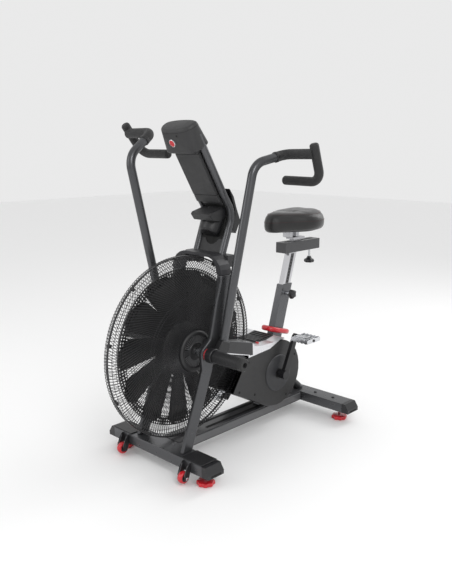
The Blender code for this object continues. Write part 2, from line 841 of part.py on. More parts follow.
def slider_knob():
    """The clamp screw below the slider rail."""
    profile = [
        (0.018, 0.690),
        (0.024, 0.696),
        (0.022, 0.706),
        (0.010, 0.716),
        (0.0050, 0.720),
        (0.0050, POST_TOP_Z + SLIDER_WALL + 0.014),
    ]
    knob = lathe_solid("slider_knob", profile, (KNOB_X, 0), (BLACK, 0.0, 0.5), 20, "Z")
    set_origin(knob, KNOB_X, 0, POST_TOP_Z)


def saddle_ring(scale_x, scale_y, z, dip):
    """One level outline of the saddle: wide behind, narrowing to the nose."""
    ring = []
    half = SADDLE_LENGTH / 2
    for i in range(28):
        turn = 2 * math.pi * i / 28
        c = math.cos(turn)
        s = math.sin(turn)
        x = half * math.copysign(abs(c) ** 0.85, c)
        narrow = 0.5 + 0.5 * math.tanh((0.030 - x) / 0.055)
        width = SADDLE_WIDTH / 2 * (0.50 + 0.50 * narrow)
        y = width * math.copysign(abs(s) ** 0.8, s)
        lift = dip * (x / half) ** 2
        ring.append((SADDLE_CENTRE + x * scale_x, y * scale_y, z + lift))
    return ring


def saddle():
    rings = [
        saddle_ring(0.72, 0.66, SADDLE_BOTTOM, 0.0),
        saddle_ring(0.94, 0.92, SADDLE_BOTTOM + 0.010, 0.0),
        saddle_ring(1.0, 1.0, SADDLE_BOTTOM + 0.036, 0.0),
        saddle_ring(0.99, 0.98, SADDLE_TOP - 0.036, 0.004),
        saddle_ring(0.90, 0.86, SADDLE_TOP - 0.014, 0.006),
        saddle_ring(0.62, 0.52, SADDLE_TOP - 0.004, 0.008),
    ]
    pad = loft("saddle", rings, (BLACK, 0.0, 0.6), smooth=True)
    set_origin(pad, -0.700, 0, POST_TOP_Z + SLIDER_HEIGHT)


def seat():
    seat_tube()
    seat_post()
    slider_rail()
    carriage()
    slider_knob()
    saddle()


# ---- fan ----------------------------------------------------------------------------------
def cage_half(side):
    """One half of the cage: swirling bars between rings, from the hub round to the middle."""
    profile = [
        (CAGE_HUB_RADIUS - 0.014, CAGE_HUB_Y),
        (CAGE_HUB_RADIUS, CAGE_HUB_Y),
        (0.206, CAGE_HUB_Y - 0.008),
        (0.214, CAGE_HUB_Y - 0.009),
        (CAGE_RADIUS - 0.020, CAGE_SHOULDER_Y + 0.006),
        (CAGE_RADIUS - 0.004, CAGE_SHOULDER_Y),
        (CAGE_RADIUS, 0.008),
        (CAGE_RADIUS, GAP / 2),
    ]
    thick = CAGE_WIRE
    inner = []
    for radius, y in profile[:5]:
        inner.append((radius, y - thick))
    inner.append((CAGE_RADIUS - 0.004 - thick * 0.8, CAGE_SHOULDER_Y - thick * 0.8))
    inner.append((CAGE_RADIUS - thick, 0.008))
    inner.append((CAGE_RADIUS - thick, GAP / 2))
    open_rows = (1, 3, 5)
    return grid_shell(side_name("cage", side), profile, inner, open_rows, side)


def grid_shell(name, outer, inner, open_rows, side):
    """A thin shell on polar lines with windows between its bars."""
    columns = CAGE_BARS * 2
    bar = 0.012
    points = []
    for layer in (outer, inner):
        for radius, y in layer:
            swirl = 0.32 * (CAGE_RADIUS - radius) / CAGE_RADIUS
            for i in range(columns):
                middle = 2 * math.pi * (i // 2) / CAGE_BARS
                half = min(bar / radius / 2, 0.06)
                turn = middle + (half if i % 2 else -half) + swirl
                points.append((radius * math.cos(turn), side * y, AXLE_Z + radius * math.sin(turn)))
    rows = len(outer)

    def at(layer, row, column):
        return (layer * rows + row) * columns + column % columns

    def filled(row, column):
        inside = 0 <= row < rows - 1
        return inside and not (row in open_rows and column % 2 == 1)

    faces = []
    for row in range(rows - 1):
        for i in range(columns):
            if not filled(row, i):
                continue
            for layer in (0, 1):
                quad = (at(layer, row, i), at(layer, row, i + 1), at(layer, row + 1, i + 1), at(layer, row + 1, i))
                faces.append(quad if layer == 0 else quad[::-1])
            for near, a, b in (
                (filled(row, i - 1), (row, i), (row + 1, i)),
                (filled(row, i + 1), (row, i + 1), (row + 1, i + 1)),
                (filled(row - 1, i), (row, i), (row, i + 1)),
                (filled(row + 1, i), (row + 1, i), (row + 1, i + 1)),
            ):
                if not near:
                    faces.append((at(0, *a), at(0, *b), at(1, *b), at(1, *a)))
    return add_object(name, points, faces, (BLACK, 0.6, 0.4))


def fan_blade(number):
    """A broad twisted scoop from the hub disc to the tip ring."""
    turn = 2 * math.pi * number / BLADES + 0.11
    across = Vector((-math.sin(turn), 0, math.cos(turn)))
    out = Vector((math.cos(turn), 0, math.sin(turn)))
    rings = []
    for radius, half, pitch in ((0.085, 0.018, 0.008), (0.20, 0.036, 0.020), (ROTOR_RADIUS - 0.002, 0.046, 0.020)):
        middle = Vector((0, 0, AXLE_Z)) + out * radius
        cup = -0.008
        line = [(-half, pitch), (0.0, cup), (half, -pitch)]
        lower = [middle + across * t + Vector((0, y - 0.0015, 0)) for t, y in line]
        upper = [middle + across * t + Vector((0, y + 0.0015, 0)) for t, y in line[::-1]]
        rings.append(lower + upper)
    return loft(f"blade_{number}", rings, None)


def fan_rotor():
    """Hub, small pulley, blades and tip ring turning on the fixed axle."""
    bore = AXLE_RADIUS + FIT
    wheel = FAN_PULLEY_RADIUS
    profile = [
        (bore, 0.058),
        (bore, -BELT_OUT - 0.002),
        (wheel + 0.0025, -BELT_OUT - 0.002),
        (wheel + 0.0025, -BELT_OUT - GAP),
        (wheel, -BELT_OUT - GAP),
        (wheel, -BELT_IN + GAP),
        (wheel + 0.0025, -BELT_IN + GAP),
        (wheel + 0.0025, -BELT_IN + 0.002),
        (0.022, -BELT_IN + 0.004),
        (0.022, -0.030),
        (0.100, -0.010),
        (0.104, 0.0),
        (0.100, 0.010),
        (0.022, 0.030),
        (0.022, 0.058),
    ]
    rotor = lathe("fan_rotor", profile, (0, AXLE_Z), (BLACK, 0.2, 0.5))
    for number in range(BLADES):
        join(rotor, fan_blade(number))
    ring = [
        (ROTOR_RADIUS - 0.037, -0.0011),
        (ROTOR_RADIUS, -0.0011),
        (ROTOR_RADIUS, 0.0013),
        (ROTOR_RADIUS - 0.037, 0.0013),
    ]
    join(rotor, lathe("tip_ring", ring, (0, AXLE_Z), None, 36))
    set_origin(rotor, 0, 0, AXLE_Z)


def hub_cap():
    inner = CAGE_HUB_Y + GAP
    outer = BELT_OUT - 0.001
    bore = AXLE_RADIUS + GAP
    profile = [
        (bore, inner),
        (0.078, inner),
        (0.081, inner + 0.003),
        (0.078, outer - 0.003),
        (0.060, outer - 0.001),
        (0.056, outer - 0.004),
        (0.034, outer - 0.004),
        (0.030, outer),
        (bore, outer),
    ]
    lathe("hub_cap", profile, (0, AXLE_Z), (BLACK, 0.1, 0.4), 32)


def fan():
    for side in (LEFT, RIGHT):
        cage_half(side)
    fan_rotor()
    hub_cap()
    cylinder("fan_axle", (0, AXLE_Z), AXLE_RADIUS, -PEG_OUT + 0.033, PEG_OUT - 0.033, "Y", (SILVER, 1.0, 0.3), 20)


# ---- arms ---------------------------------------------------------------------------------
def arm_points(side, points):
    made = []
    for x, y, z in points:
        at = swung(x, z, side)
        made.append((at[0], side * y, at[1]))
    return made


ARM_FOOT = (ARM_BACK, ARM_Y, AXLE_Z + 0.030)
ARM_BEND = (ARM_BACK, 0.190, AXLE_Z + 0.7265)
GRIP_CORNER = (-0.208, 0.2115, AXLE_Z + 0.790)


def arm_run(part):
    """A point between the bend of the arm and the corner of the grip."""
    return tuple(a + (b - a) * part for a, b in zip(ARM_BEND, GRIP_CORNER))


def arm(side):
    """The swinging arm: tube, hub, bearing sleeve and the inner lever that works the rod."""
    name = side_name("arm", side)
    path = rounded_path(arm_points(side, [ARM_FOOT, ARM_BEND, arm_run(0.80)]), 0.070, 4)
    tube = hollow_pipe(name, path, ARM_RADIUS, 0.0025, (STEEL, 0.6, 0.35))
    hub = [
        (0.014, side * (FORK_OUT + 0.014)),
        (0.029, side * (FORK_OUT + 0.014)),
        (0.029, side * (PEG_IN - GAP)),
        (0.014, side * (PEG_IN - GAP)),
    ]
    join(tube, lathe(name + "_hub", hub, (0, AXLE_Z), None, 24))
    join(tube, arm_bracket(side))
    sleeve = [
        (AXLE_RADIUS + FIT, side * (LEVER_IN + 0.0007)),
        (SLEEVE_RADIUS, side * (LEVER_IN + 0.0007)),
        (SLEEVE_RADIUS, side * (PEG_IN - 0.004)),
        (AXLE_RADIUS + FIT, side * (PEG_IN - 0.004)),
    ]
    join(tube, lathe(name + "_sleeve", sleeve, (0, AXLE_Z), None, 22))
    join(tube, lever(side))
    tip = lever_tip(side)
    pin = cylinder(name + "_pin", tip, 0.004, side * (ROD_IN - 0.001), side * (LEVER_OUT - 0.001), count=12)
    join(tube, pin)
    set_origin(tube, 0, side * ARM_Y, AXLE_Z)


def arm_bracket(side):
    """The block that carries the tube behind the hub."""
    outline = [
        (-0.016, -0.022),
        (-0.016, 0.020),
        (ARM_BACK + 0.020, 0.052),
        (ARM_BACK - 0.020, 0.046),
        (ARM_BACK - 0.019, 0.020),
        (ARM_BACK + 0.012, -0.010),
    ]
    turned = [swung(x, AXLE_Z + lift, side) for x, lift in outline]
    ends = (side * (FORK_OUT + 0.0150), side * (PEG_IN - 0.006))
    return prism(side_name("arm_bracket", side), turned, ends[0], ends[1], "Y", None)


def lever_tip(side):
    return swung(LEVER_TIP[0], AXLE_Z + LEVER_TIP[1], side)


def lever(side):
    tip = Vector(lever_tip(side))
    base = Vector((0, AXLE_Z))
    along = (tip - base).normalized()
    across = Vector((-along.y, along.x))
    outline = [
        base + across * 0.014 + along * 0.0125,
        tip + across * 0.008,
        tip + along * 0.007 + across * 0.004,
        tip + along * 0.007 - across * 0.004,
        tip - across * 0.008,
        base - across * 0.014 + along * 0.0125,
    ]
    name = side_name("lever", side)
    return prism(name, [tuple(p) for p in outline], side * LEVER_IN, side * LEVER_OUT, "Y", None)


def grip(side):
    """The padded C-shaped handle on the end of an arm."""
    name = side_name("grip", side)
    top = [arm_run(0.667), GRIP_CORNER, (-0.200, 0.350, AXLE_Z + 0.7905)]
    path = rounded_path(arm_points(side, top), 0.030, 4)
    body = pipe(name, path, GRIP_RADIUS, (BLACK, 0.0, 0.75))
    bow = [
        (-0.194, 0.350, AXLE_Z + 0.8285),
        (-0.202, 0.351, AXLE_Z + 0.7905),
        (-0.262, 0.356, AXLE_Z + 0.6965),
        (-0.2545, 0.182, AXLE_Z + 0.6975),
    ]
    low = rounded_path(arm_points(side, bow), 0.034, 5)
    join(body, pipe(name + "_bow", low, GRIP_RADIUS - 0.0015, None))
    ends = [Vector(p) for p in arm_points(side, [arm_run(0.50), arm_run(0.815)])]
    cut(body, pipe(name + "_socket", ends, ARM_RADIUS + 2 * GAP, None, 24))
    set_origin(body, 0, side * ARM_Y, AXLE_Z)


def foot_peg(side):
    profile = [
        (AXLE_RADIUS + GAP, side * PEG_IN),
        (PEG_RADIUS - 0.003, side * PEG_IN),
        (PEG_RADIUS, side * (PEG_IN + 0.004)),
        (PEG_RADIUS, side * (PEG_OUT - 0.004)),
        (PEG_RADIUS - 0.003, side * PEG_OUT),
        (AXLE_RADIUS + GAP, side * PEG_OUT),
    ]
    lathe(side_name("foot_peg", side), profile, (0, AXLE_Z), (BLACK, 0.0, 0.7), 24)


def pivot_ring(side):
    profile = [
        (SLEEVE_RADIUS + FIT, side * (FORK_OUT + GAP)),
        (0.0235, side * (FORK_OUT + GAP)),
        (0.0235, side * (FORK_OUT + 0.0130)),
        (SLEEVE_RADIUS + FIT, side * (FORK_OUT + 0.0130)),
    ]
    lathe(side_name("pivot_ring", side), profile, (0, AXLE_Z), (RED, 0.3, 0.3), 24)


def connecting_rod(side):
    """From the arm's lever towards the eccentric, stopping short of the strap."""
    tip = Vector(lever_tip(side))
    start = tip
    middle = Vector((LEVER_TIP[0], AXLE_Z + LEVER_TIP[1]))
    back = (Vector((CRANK_X, CRANK_Z)) - middle).normalized()
    reach = (Vector((CRANK_X, CRANK_Z)) - middle).length - 0.052
    across = Vector((-back.y, back.x))
    end = start + back * reach
    outline = [start + across * 0.005 + back * 0.006, end + across * 0.005, end - across * 0.005]
    outline.append(start - across * 0.005 + back * 0.006)
    name = side_name("connecting_rod", side)
    ends = (side * ROD_IN, side * ROD_OUT)
    body = prism(name, [tuple(p) for p in outline], ends[0], ends[1], "Y", (STEEL, 0.8, 0.4))
    join(body, cylinder(name + "_eye", tuple(start), 0.010, ends[0], ends[1], count=16))
    hole = (side * (ROD_IN - 0.005), side * (ROD_OUT + 0.005))
    cut(body, cylinder(name + "_hole", tuple(start), 0.004 + FIT, hole[0], hole[1], count=12))
    set_origin(body, start.x, side * (ROD_IN + ROD_OUT) / 2, start.y)


def arms():
    for side in (LEFT, RIGHT):
        arm(side)
        grip(side)
        foot_peg(side)
        pivot_ring(side)
        connecting_rod(side)


# ---- crank, belt and covers ---------------------------------------------------------------
def crank_shaft():
    """Shaft, large pulley and the two eccentrics, all one turned assembly."""
    end = SHROUD_Y + 0.045
    shaft = cylinder("crank_shaft", (CRANK_X, CRANK_Z), SHAFT_RADIUS, -end, end, "Y", (STEEL, 0.9, 0.3), 20)
    wheel = PULLEY_RADIUS
    rim = [
        (SHAFT_RADIUS - 0.001, -BELT_OUT + 0.002),
        (SHAFT_RADIUS - 0.001, -BELT_IN - 0.002),
        (wheel - 0.012, -BELT_IN - 0.002),
        (wheel - 0.012, -BELT_IN + 0.0015),
        (wheel + 0.0025, -BELT_IN + 0.0015),
        (wheel + 0.0025, -BELT_IN + GAP),
        (wheel, -BELT_IN + GAP),
        (wheel, -BELT_OUT - GAP),
        (wheel + 0.0025, -BELT_OUT - GAP),
        (wheel + 0.0025, -BELT_OUT - 0.0012),
        (wheel - 0.012, -BELT_OUT - 0.0012),
        (wheel - 0.012, -BELT_OUT + 0.002),
    ]
    join(shaft, lathe("crank_pulley", rim, (CRANK_X, CRANK_Z), None, 28))
    for side in (LEFT, RIGHT):
        turn = CRANK_ANGLE + (math.pi if side == RIGHT else 0)
        centre = (CRANK_X + THROW * math.cos(turn), CRANK_Z + THROW * math.sin(turn))
        name = side_name("eccentric", side)
        join(shaft, cylinder(name, centre, 0.024, side * (ROD_IN + 0.0005), side * (ROD_OUT - 0.0005)))
    set_origin(shaft, CRANK_X, 0, CRANK_Z)


def crank_end(side):
    turn = CRANK_ANGLE + (math.pi if side == RIGHT else 0)
    return (CRANK_X + CRANK_LENGTH * math.cos(turn), CRANK_Z + CRANK_LENGTH * math.sin(turn))


def crank(side):
    """Crank arm with the pedal spindle."""
    name = side_name("crank", side)
    tip = Vector(crank_end(side))
    base = Vector((CRANK_X, CRANK_Z))
    along = (tip - base).normalized()
    across = Vector((-along.y, along.x))
    inside = SHROUD_Y + 0.028
    outside = SHROUD_Y + 0.044
    outline = [
        base + across * 0.016,
        tip + across * 0.011,
        tip + along * 0.012 + across * 0.005,
        tip + along * 0.012 - across * 0.005,
        tip - across * 0.011,
        base - across * 0.016,
        base - along * 0.016 - across * 0.009,
        base - along * 0.016 + across * 0.009,
    ]
    ends = (side * inside, side * outside)
    body = prism(name, [tuple(p) for p in outline], ends[0], ends[1], "Y", (BLACK, 0.3, 0.4))
    boss = cylinder(name + "_boss", (CRANK_X, CRANK_Z), 0.020, side * (SHROUD_Y + 0.012), side * (outside + 0.003))
    join(body, boss)
    spindle = cylinder(name + "_spindle", tuple(tip), 0.006, side * (inside + 0.002), side * (outside + 0.096), count=16)
    join(body, spindle)
    bore = (side * (SHROUD_Y + 0.005), side * (SHROUD_Y + 0.046))
    cut(body, cylinder(name + "_bore", (CRANK_X, CRANK_Z), SHAFT_RADIUS + GAP, bore[0], bore[1], count=20))
    set_origin(body, CRANK_X, side * inside, CRANK_Z)


def pedal(side):
    """A caged pedal that turns freely on its spindle."""
    name = side_name("pedal", side)
    x, z = crank_end(side)
    near = SHROUD_Y + 0.050
    far = near + 0.088
    half = 0.046
    tall = 0.010
    ends = sorted((side * near, side * far))
    body = box(name, (x - half, x + half), ends, (z - tall, z + tall), (SILVER, 1.0, 0.25))
    inner = sorted((side * (near + 0.006), side * (far - 0.006)))
    for end in (-1, 1):
        span = sorted((x + end * 0.0125, x + end * (half - 0.005)))
        window = box(f"{name}_window_{end + 2}", span, inner, (z - 0.02, z + 0.02))
        cut(body, window)
    join(body, cylinder(name + "_barrel", (x, z), 0.0135, side * near, side * far))
    bore = (side * (near - 0.005), side * (far + 0.005))
    cut(body, cylinder(name + "_bore", (x, z), 0.006 + FIT, bore[0], bore[1], count=16))
    set_origin(body, x, side * (near + far) / 2, z)


def belt_loop(extra):
    """The open outline of a belt round both pulleys, grown by an extra thickness."""
    big = PULLEY_RADIUS + extra
    small = FAN_PULLEY_RADIUS + extra
    dx = CRANK_X
    dz = CRANK_Z - AXLE_Z
    reach = math.hypot(dx, dz)
    heading = math.atan2(dz, dx)
    lean = math.acos((small - big) / reach)
    loop = []
    for i in range(9):
        turn = heading + lean + (2 * math.pi - 2 * lean) * i / 8
        loop.append((small * math.cos(turn), AXLE_Z + small * math.sin(turn)))
    for i in range(25):
        turn = heading - lean + 2 * lean * i / 24
        loop.append((CRANK_X + big * math.cos(turn), CRANK_Z + big * math.sin(turn)))
    return loop


def belt():
    outer = belt_loop(GAP * 2 + BELT_THICK)
    inner = belt_loop(GAP * 2)
    count = len(outer)
    points = []
    for loop, y in ((outer, -BELT_IN), (outer, -BELT_OUT), (inner, -BELT_OUT), (inner, -BELT_IN)):
        points += [(x, y, z) for x, z in loop]
    faces = []
    for row in range(4):
        for i in range(count):
            a = row * count + i
            b = row * count + (i + 1) % count
            c = ((row + 1) % 4) * count + (i + 1) % count
            d = ((row + 1) % 4) * count + i
            faces.append((a, b, c, d))
    add_object("drive_belt", points, faces, (BLACK, 0.0, 0.7))


def shroud_outline(inset):
    """Side view of the shroud. An inset outline runs out past the open front."""
    outline = []
    radius = SHROUD_RADIUS - inset
    for i in range(15):
        turn = math.radians(100 + 12.2 * i)
        outline.append((CRANK_X + radius * math.cos(turn), CRANK_Z + radius * math.sin(turn)))
    ahead = 0.05 if inset else 0.0
    outline += [
        (CRANK_X + 0.072, CRANK_Z - 0.135 + inset),
        (CRANK_X + 0.156, CRANK_Z - 0.086 + inset),
        (CRANK_X + 0.283 + ahead, CRANK_Z - 0.023 + inset + ahead * 0.5),
        (CRANK_X + 0.198 + ahead, CRANK_Z + 0.110 - inset + ahead * 0.1),
        (CRANK_X + 0.055, CRANK_Z + 0.120 - inset),
    ]
    return outline


def shroud(side):
    """One half of the crank shroud, open in front where it straddles the cage."""
    name = side_name("shroud", side)
    body = prism(name, shroud_outline(0), side * GAP, side * SHROUD_Y, "Y", (BLACK, 0.0, 0.45))
    depth = (side * -0.02, side * (SHROUD_Y - SHROUD_WALL))
    cut(body, prism(name + "_inside", shroud_outline(SHROUD_WALL), depth[0], depth[1], "Y", None))
    cut(body, cylinder(name + "_cage_slot", (0, AXLE_Z), CAGE_RADIUS + 0.006, side * -0.02, side * 0.062, count=48))
    around = (TUBE_LENGTH_X + 0.002, TUBE_WIDTH_Y + 0.002)
    cut(body, leaning_block(name + "_tube_slot", 0.05, 0.45, *around, None))
    strut = [Vector((REAR_STAB_X - 0.004, 0, 0.088)), Vector((tube_x(0.245) - 0.036, 0, 0.245))]
    cut(body, pipe(name + "_strut_slot", strut, 0.021, None, 16))
    ends = (side * (SHROUD_Y - 0.02), side * (SHROUD_Y + 0.02))
    cut(body, cylinder(name + "_shaft_hole", (CRANK_X, CRANK_Z), 0.012, ends[0], ends[1]))
    crank_cover(body, side)
    lane = sorted((side * (BELT_IN - 0.003), side * (SHROUD_Y - SHROUD_WALL)))
    cut(body, box(name + "_lane", (CRANK_X + 0.045, CRANK_X + 0.215), lane, (CRANK_Z + 0.09, CRANK_Z + 0.15)))


def crank_cover(body, side):
    """The round raised centre of a shroud half."""
    profile = [
        (0.012, side * (SHROUD_Y - 0.001)),
        (COVER_RADIUS, side * (SHROUD_Y - 0.001)),
        (COVER_RADIUS - 0.004, side * (SHROUD_Y + 0.005)),
        (0.024, side * (SHROUD_Y + 0.008)),
        (0.012, side * (SHROUD_Y + 0.008)),
    ]
    join(body, lathe(side_name("crank_cover", side), profile, (CRANK_X, CRANK_Z), None, 28))


def top_trim():
    """The bright saddle piece over the shroud, in front of the seat tube."""
    base = CRANK_Z + 0.1205
    outline = [
        (CRANK_X + 0.190, base - 0.0095),
        (CRANK_X + 0.190, base + 0.038),
        (CRANK_X + 0.110, base + 0.026),
        (CRANK_X + 0.030, base + 0.024),
        (CRANK_X - 0.024, base + 0.034),
        (CRANK_X - 0.040, base + 0.030),
        (CRANK_X - 0.040, base + 0.0235),
        (CRANK_X - 0.015, base + 0.0262),
        (CRANK_X + 0.055, base + GAP),
    ]
    body = prism("top_trim", outline, -SHROUD_Y, SHROUD_Y, "Y", (SILVER, 1.0, 0.2))
    slot = cylinder("trim_cage_slot", (0, AXLE_Z), CAGE_RADIUS + 0.006, -0.062, 0.062, count=48)
    cut(body, slot)
    for side in (LEFT, RIGHT):
        roof = [
            (CRANK_X + 0.040, base - 0.03),
            (CRANK_X + 0.215, base - 0.03),
            (CRANK_X + 0.215, base + 0.034),
            (CRANK_X + 0.040, base + 0.008),
        ]
        inner = side * (BELT_IN - 0.003)
        outer = side * (SHROUD_Y - SHROUD_WALL)
        cut(body, prism(side_name("trim_lane", side), roof, inner, outer, "Y", None))


def seat_collar():
    """The red ring where the seat tube leaves the shroud."""
    centre = Vector((tube_x(0.4125), 0, 0.4125))
    rings = []
    for depth, grow in ((-0.011, -0.004), (-0.006, 0.0), (0.007, 0.0), (0.011, -0.003)):
        ring = []
        for i in range(28):
            turn = 2 * math.pi * i / 28
            c = math.cos(turn)
            s = math.sin(turn)
            a = (0.076 + grow) * math.copysign(abs(c) ** 0.75, c)
            b = (0.044 + grow) * math.copysign(abs(s) ** 0.75, s)
            ring.append(centre + LEAN * depth + LEAN_FRONT * a + Vector((0, b, 0)))
        rings.append(ring)
    body = loft("seat_collar", rings, (RED, 0.0, 0.35), smooth=True)
    hole = leaning_block("collar_hole", 0.30, 0.50, TUBE_LENGTH_X + 2 * GAP, TUBE_WIDTH_Y + 2 * GAP, None)
    return cut(body, hole)


def by_drive(x, rise):
    """A point above or below the line from the crank to the fan axle, which the rods follow."""
    return (x, CRANK_Z + (AXLE_Z - CRANK_Z) * (1 - x / CRANK_X) + rise)


def side_beam(side):
    """The cover between the fork and the shroud: over the rod, and on the right the belt."""
    top = [(-0.087, AXLE_Z + 0.034), by_drive(-0.262, 0.0985), by_drive(-0.271, 0.0919)]
    front = (-0.056, AXLE_Z - 0.0075)
    if side == LEFT:
        low = [by_drive(-0.271, 0.0499), by_drive(-0.245, 0.0423), front]
    else:
        low = [by_drive(-0.271, 0.0449), by_drive(-0.262, -0.0440), by_drive(-0.100, -0.0609), front]
    name = side_name("side_beam", side)
    outline = top + low
    body = prism(name, outline, side * 0.0800, side * FORK_OUT - side * 0.002, "Y", (CHARCOAL, 0.2, 0.4))
    back = -0.2675 if side == LEFT else -0.300
    roof = [(-0.040, AXLE_Z + 0.043), by_drive(-0.260, 0.0950), by_drive(back, 0.0864)]
    roof += [(back, CRANK_Z - 0.008), (-0.040, CRANK_Z - 0.008)]
    depth = (side * 0.07, side * (FORK_OUT - 0.005))
    cut(body, prism(name + "_inside", roof, depth[0], depth[1], "Y", None))
    around = cylinder(name + "_hub_slot", (0, AXLE_Z), CAGE_HUB_RADIUS, side * 0.07, side * (BELT_OUT + 0.001))
    return cut(body, around)


def drive():
    crank_shaft()
    belt()
    top_trim()
    seat_collar()
    for side in (LEFT, RIGHT):
        crank(side)
        pedal(side)
        shroud(side)
        side_beam(side)


clear_scene()
ROOT = bpy.data.objects.new("air_bike", None)
bpy.context.collection.objects.link(ROOT)
ROOT.location = (AXLE_X, 0, 0)
ground_frame()
for fork_side in (LEFT, RIGHT):
    fork(fork_side)
top_arch()
mast()
console()
seat()
fan()
arms()
drive()
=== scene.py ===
"""Looks of the air bike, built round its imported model.

Metres. +X is forward, +Y the rider's left and +Z up. Lengths along X are measured from the
fan axle, as in the part's source, and piece() moves them into the model's frame.
"""

import math

import bpy
from mathutils import Matrix, Vector


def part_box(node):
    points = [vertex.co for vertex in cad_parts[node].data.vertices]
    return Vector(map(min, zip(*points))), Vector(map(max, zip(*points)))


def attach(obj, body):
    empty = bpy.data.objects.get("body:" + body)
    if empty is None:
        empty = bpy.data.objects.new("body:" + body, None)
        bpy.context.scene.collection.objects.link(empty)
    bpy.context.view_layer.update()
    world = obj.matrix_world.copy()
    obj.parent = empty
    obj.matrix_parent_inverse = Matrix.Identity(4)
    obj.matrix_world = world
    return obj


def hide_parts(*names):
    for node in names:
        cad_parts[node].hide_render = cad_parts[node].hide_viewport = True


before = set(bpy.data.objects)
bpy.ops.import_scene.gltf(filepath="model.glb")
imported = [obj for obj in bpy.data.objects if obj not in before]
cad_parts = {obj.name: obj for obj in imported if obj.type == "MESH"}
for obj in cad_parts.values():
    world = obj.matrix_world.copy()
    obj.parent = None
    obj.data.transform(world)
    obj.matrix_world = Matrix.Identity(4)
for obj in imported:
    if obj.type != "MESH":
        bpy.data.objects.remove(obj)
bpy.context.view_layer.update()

axle_low, axle_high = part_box("fan_axle")
AXLE_X = (axle_low.x + axle_high.x) / 2
AXLE_Z = (axle_low.z + axle_high.z) / 2
AXLE = (0, AXLE_Z)
AXLE_POINT = Vector((0, 0, AXLE_Z))
SIDES = (("left", 1), ("right", -1))

GUARD_RADIUS = 0.3576  # centre line of the wires where they wrap round the rim
WIRE = 0.00115
WIRES = 180
SWIRL = 0.80  # how far a wire turns between the rim and the hub, in radians
CLIPS, FINS, BLADES = 10, 44, 12
AXLE_BORE = 0.0104  # of what sits on the axle
CAP_BACK = 0.0746  # the hub cap's back face
TIP_RADIUS = 0.311
TIP_WIDTH = 0.037
FORK_IN, FORK_OUT = 0.112, 0.138
ARM_REST = math.radians(11.25)
ARM_RADIUS = 0.017
ARM_BACK, ARM_Y = -0.061, 0.157
PEG_IN, PEG_OUT = 0.184, 0.333
MAST_Y, MAST_RADIUS = 0.071, 0.0145
CRANK = (-0.464, 0.258)
CRANK_LENGTH, CRANK_TURN = 0.172, math.radians(113.5)
SHROUD_Y = 0.104
SADDLE_X, SADDLE_LENGTH, SADDLE_WIDTH = -0.665, 0.320, 0.262
FRONT_BAR_X, REAR_BAR_X = 0.108, -0.749
BAR_LOW, BAR_HIGH = 0.048, 0.090
FOOT_Y, WHEEL_Y = 0.238, 0.181
TUBE_LEAN = 0.2947
LEAN = Vector((-TUBE_LEAN, 0, 1)).normalized()  # up the seat tube, and square to it
AHEAD = Vector((LEAN.z, 0, -LEAN.x))


# ---- camera, floor and light --------------------------------------------------------------
def make_camera():
    data = bpy.data.cameras.new("camera")
    data.sensor_width = 36.0
    data.lens = 41.5
    data.shift_x, data.shift_y = -0.0075, 0.0065
    camera = bpy.data.objects.new("camera", data)
    camera.location = (1.695 + AXLE_X, 1.875, 1.223)
    camera.rotation_euler = (math.radians(77.4), 0.0, math.radians(133.6))
    bpy.context.scene.collection.objects.link(camera)
    bpy.context.scene.camera = camera


def area_light(name, place, aim, size, power):
    data = bpy.data.lights.new(name, "AREA")
    data.shape = "RECTANGLE"
    data.size, data.size_y = size
    data.energy = power
    lamp = bpy.data.objects.new(name, data)
    lamp.location = place
    lamp.rotation_euler = (Vector(aim) - Vector(place)).to_track_quat("-Z", "Y").to_euler()
    bpy.context.scene.collection.objects.link(lamp)


def make_studio():
    world = bpy.data.worlds.new("studio")
    world.use_nodes = True
    world.node_tree.nodes["Background"].inputs["Color"].default_value = (1.0, 1.0, 1.0, 1.0)
    world.node_tree.nodes["Background"].inputs["Strength"].default_value = 0.82
    bpy.context.scene.world = world
    bpy.context.scene.view_settings.view_transform = "Standard"
    mesh = bpy.data.meshes.new("floor")
    far = 12.0
    corners = [(-far, -far, 0), (far, -far, 0), (far, far, 0), (-far, far, 0)]
    mesh.from_pydata(corners, [], [(0, 1, 2, 3)])
    floor = bpy.data.objects.new("floor", mesh)
    floor.location.z = -0.0005
    bpy.context.scene.collection.objects.link(floor)
    look = bpy.data.materials.new("floor_look")
    look.use_nodes = True
    shader = look.node_tree.nodes["Principled BSDF"]
    shader.inputs["Base Color"].default_value = (0.93, 0.93, 0.93, 1.0)
    shader.inputs["Roughness"].default_value = 0.6
    mesh.materials.append(look)
    area_light("key", (1.8, 3.2, 3.2), (0.0, 0.0, 0.6), (1.6, 2.0), 62)
    area_light("left_fill", (3.4, -1.6, 2.2), (0.0, 0.0, 0.6), (1.2, 2.0), 22)
    area_light("rear_rim", (-3.0, 0.8, 2.6), (0.0, 0.0, 0.7), (1.2, 1.8), 30)


# ---- materials ----------------------------------------------------------------------------
def node(tree, kind, **values):
    made = tree.nodes.new(kind)
    for key, value in values.items():
        if hasattr(made, key):
            setattr(made, key, value)
        else:
            made.inputs[key.replace("_", " ")].default_value = value
    return made


def ramp(tree, low, high, first, last):
    """A colour ramp from one grey or colour to another between two positions."""
    made = tree.nodes.new("ShaderNodeValToRGB")
    for stop, position, colour in zip(made.color_ramp.elements, (low, high), (first, last)):
        stop.position = position
        stop.color = (*colour, 1.0) if isinstance(colour, tuple) else (colour, colour, colour, 1.0)
    return made


def shade(colour, times):
    return tuple(min(1.0, c * times) for c in colour)


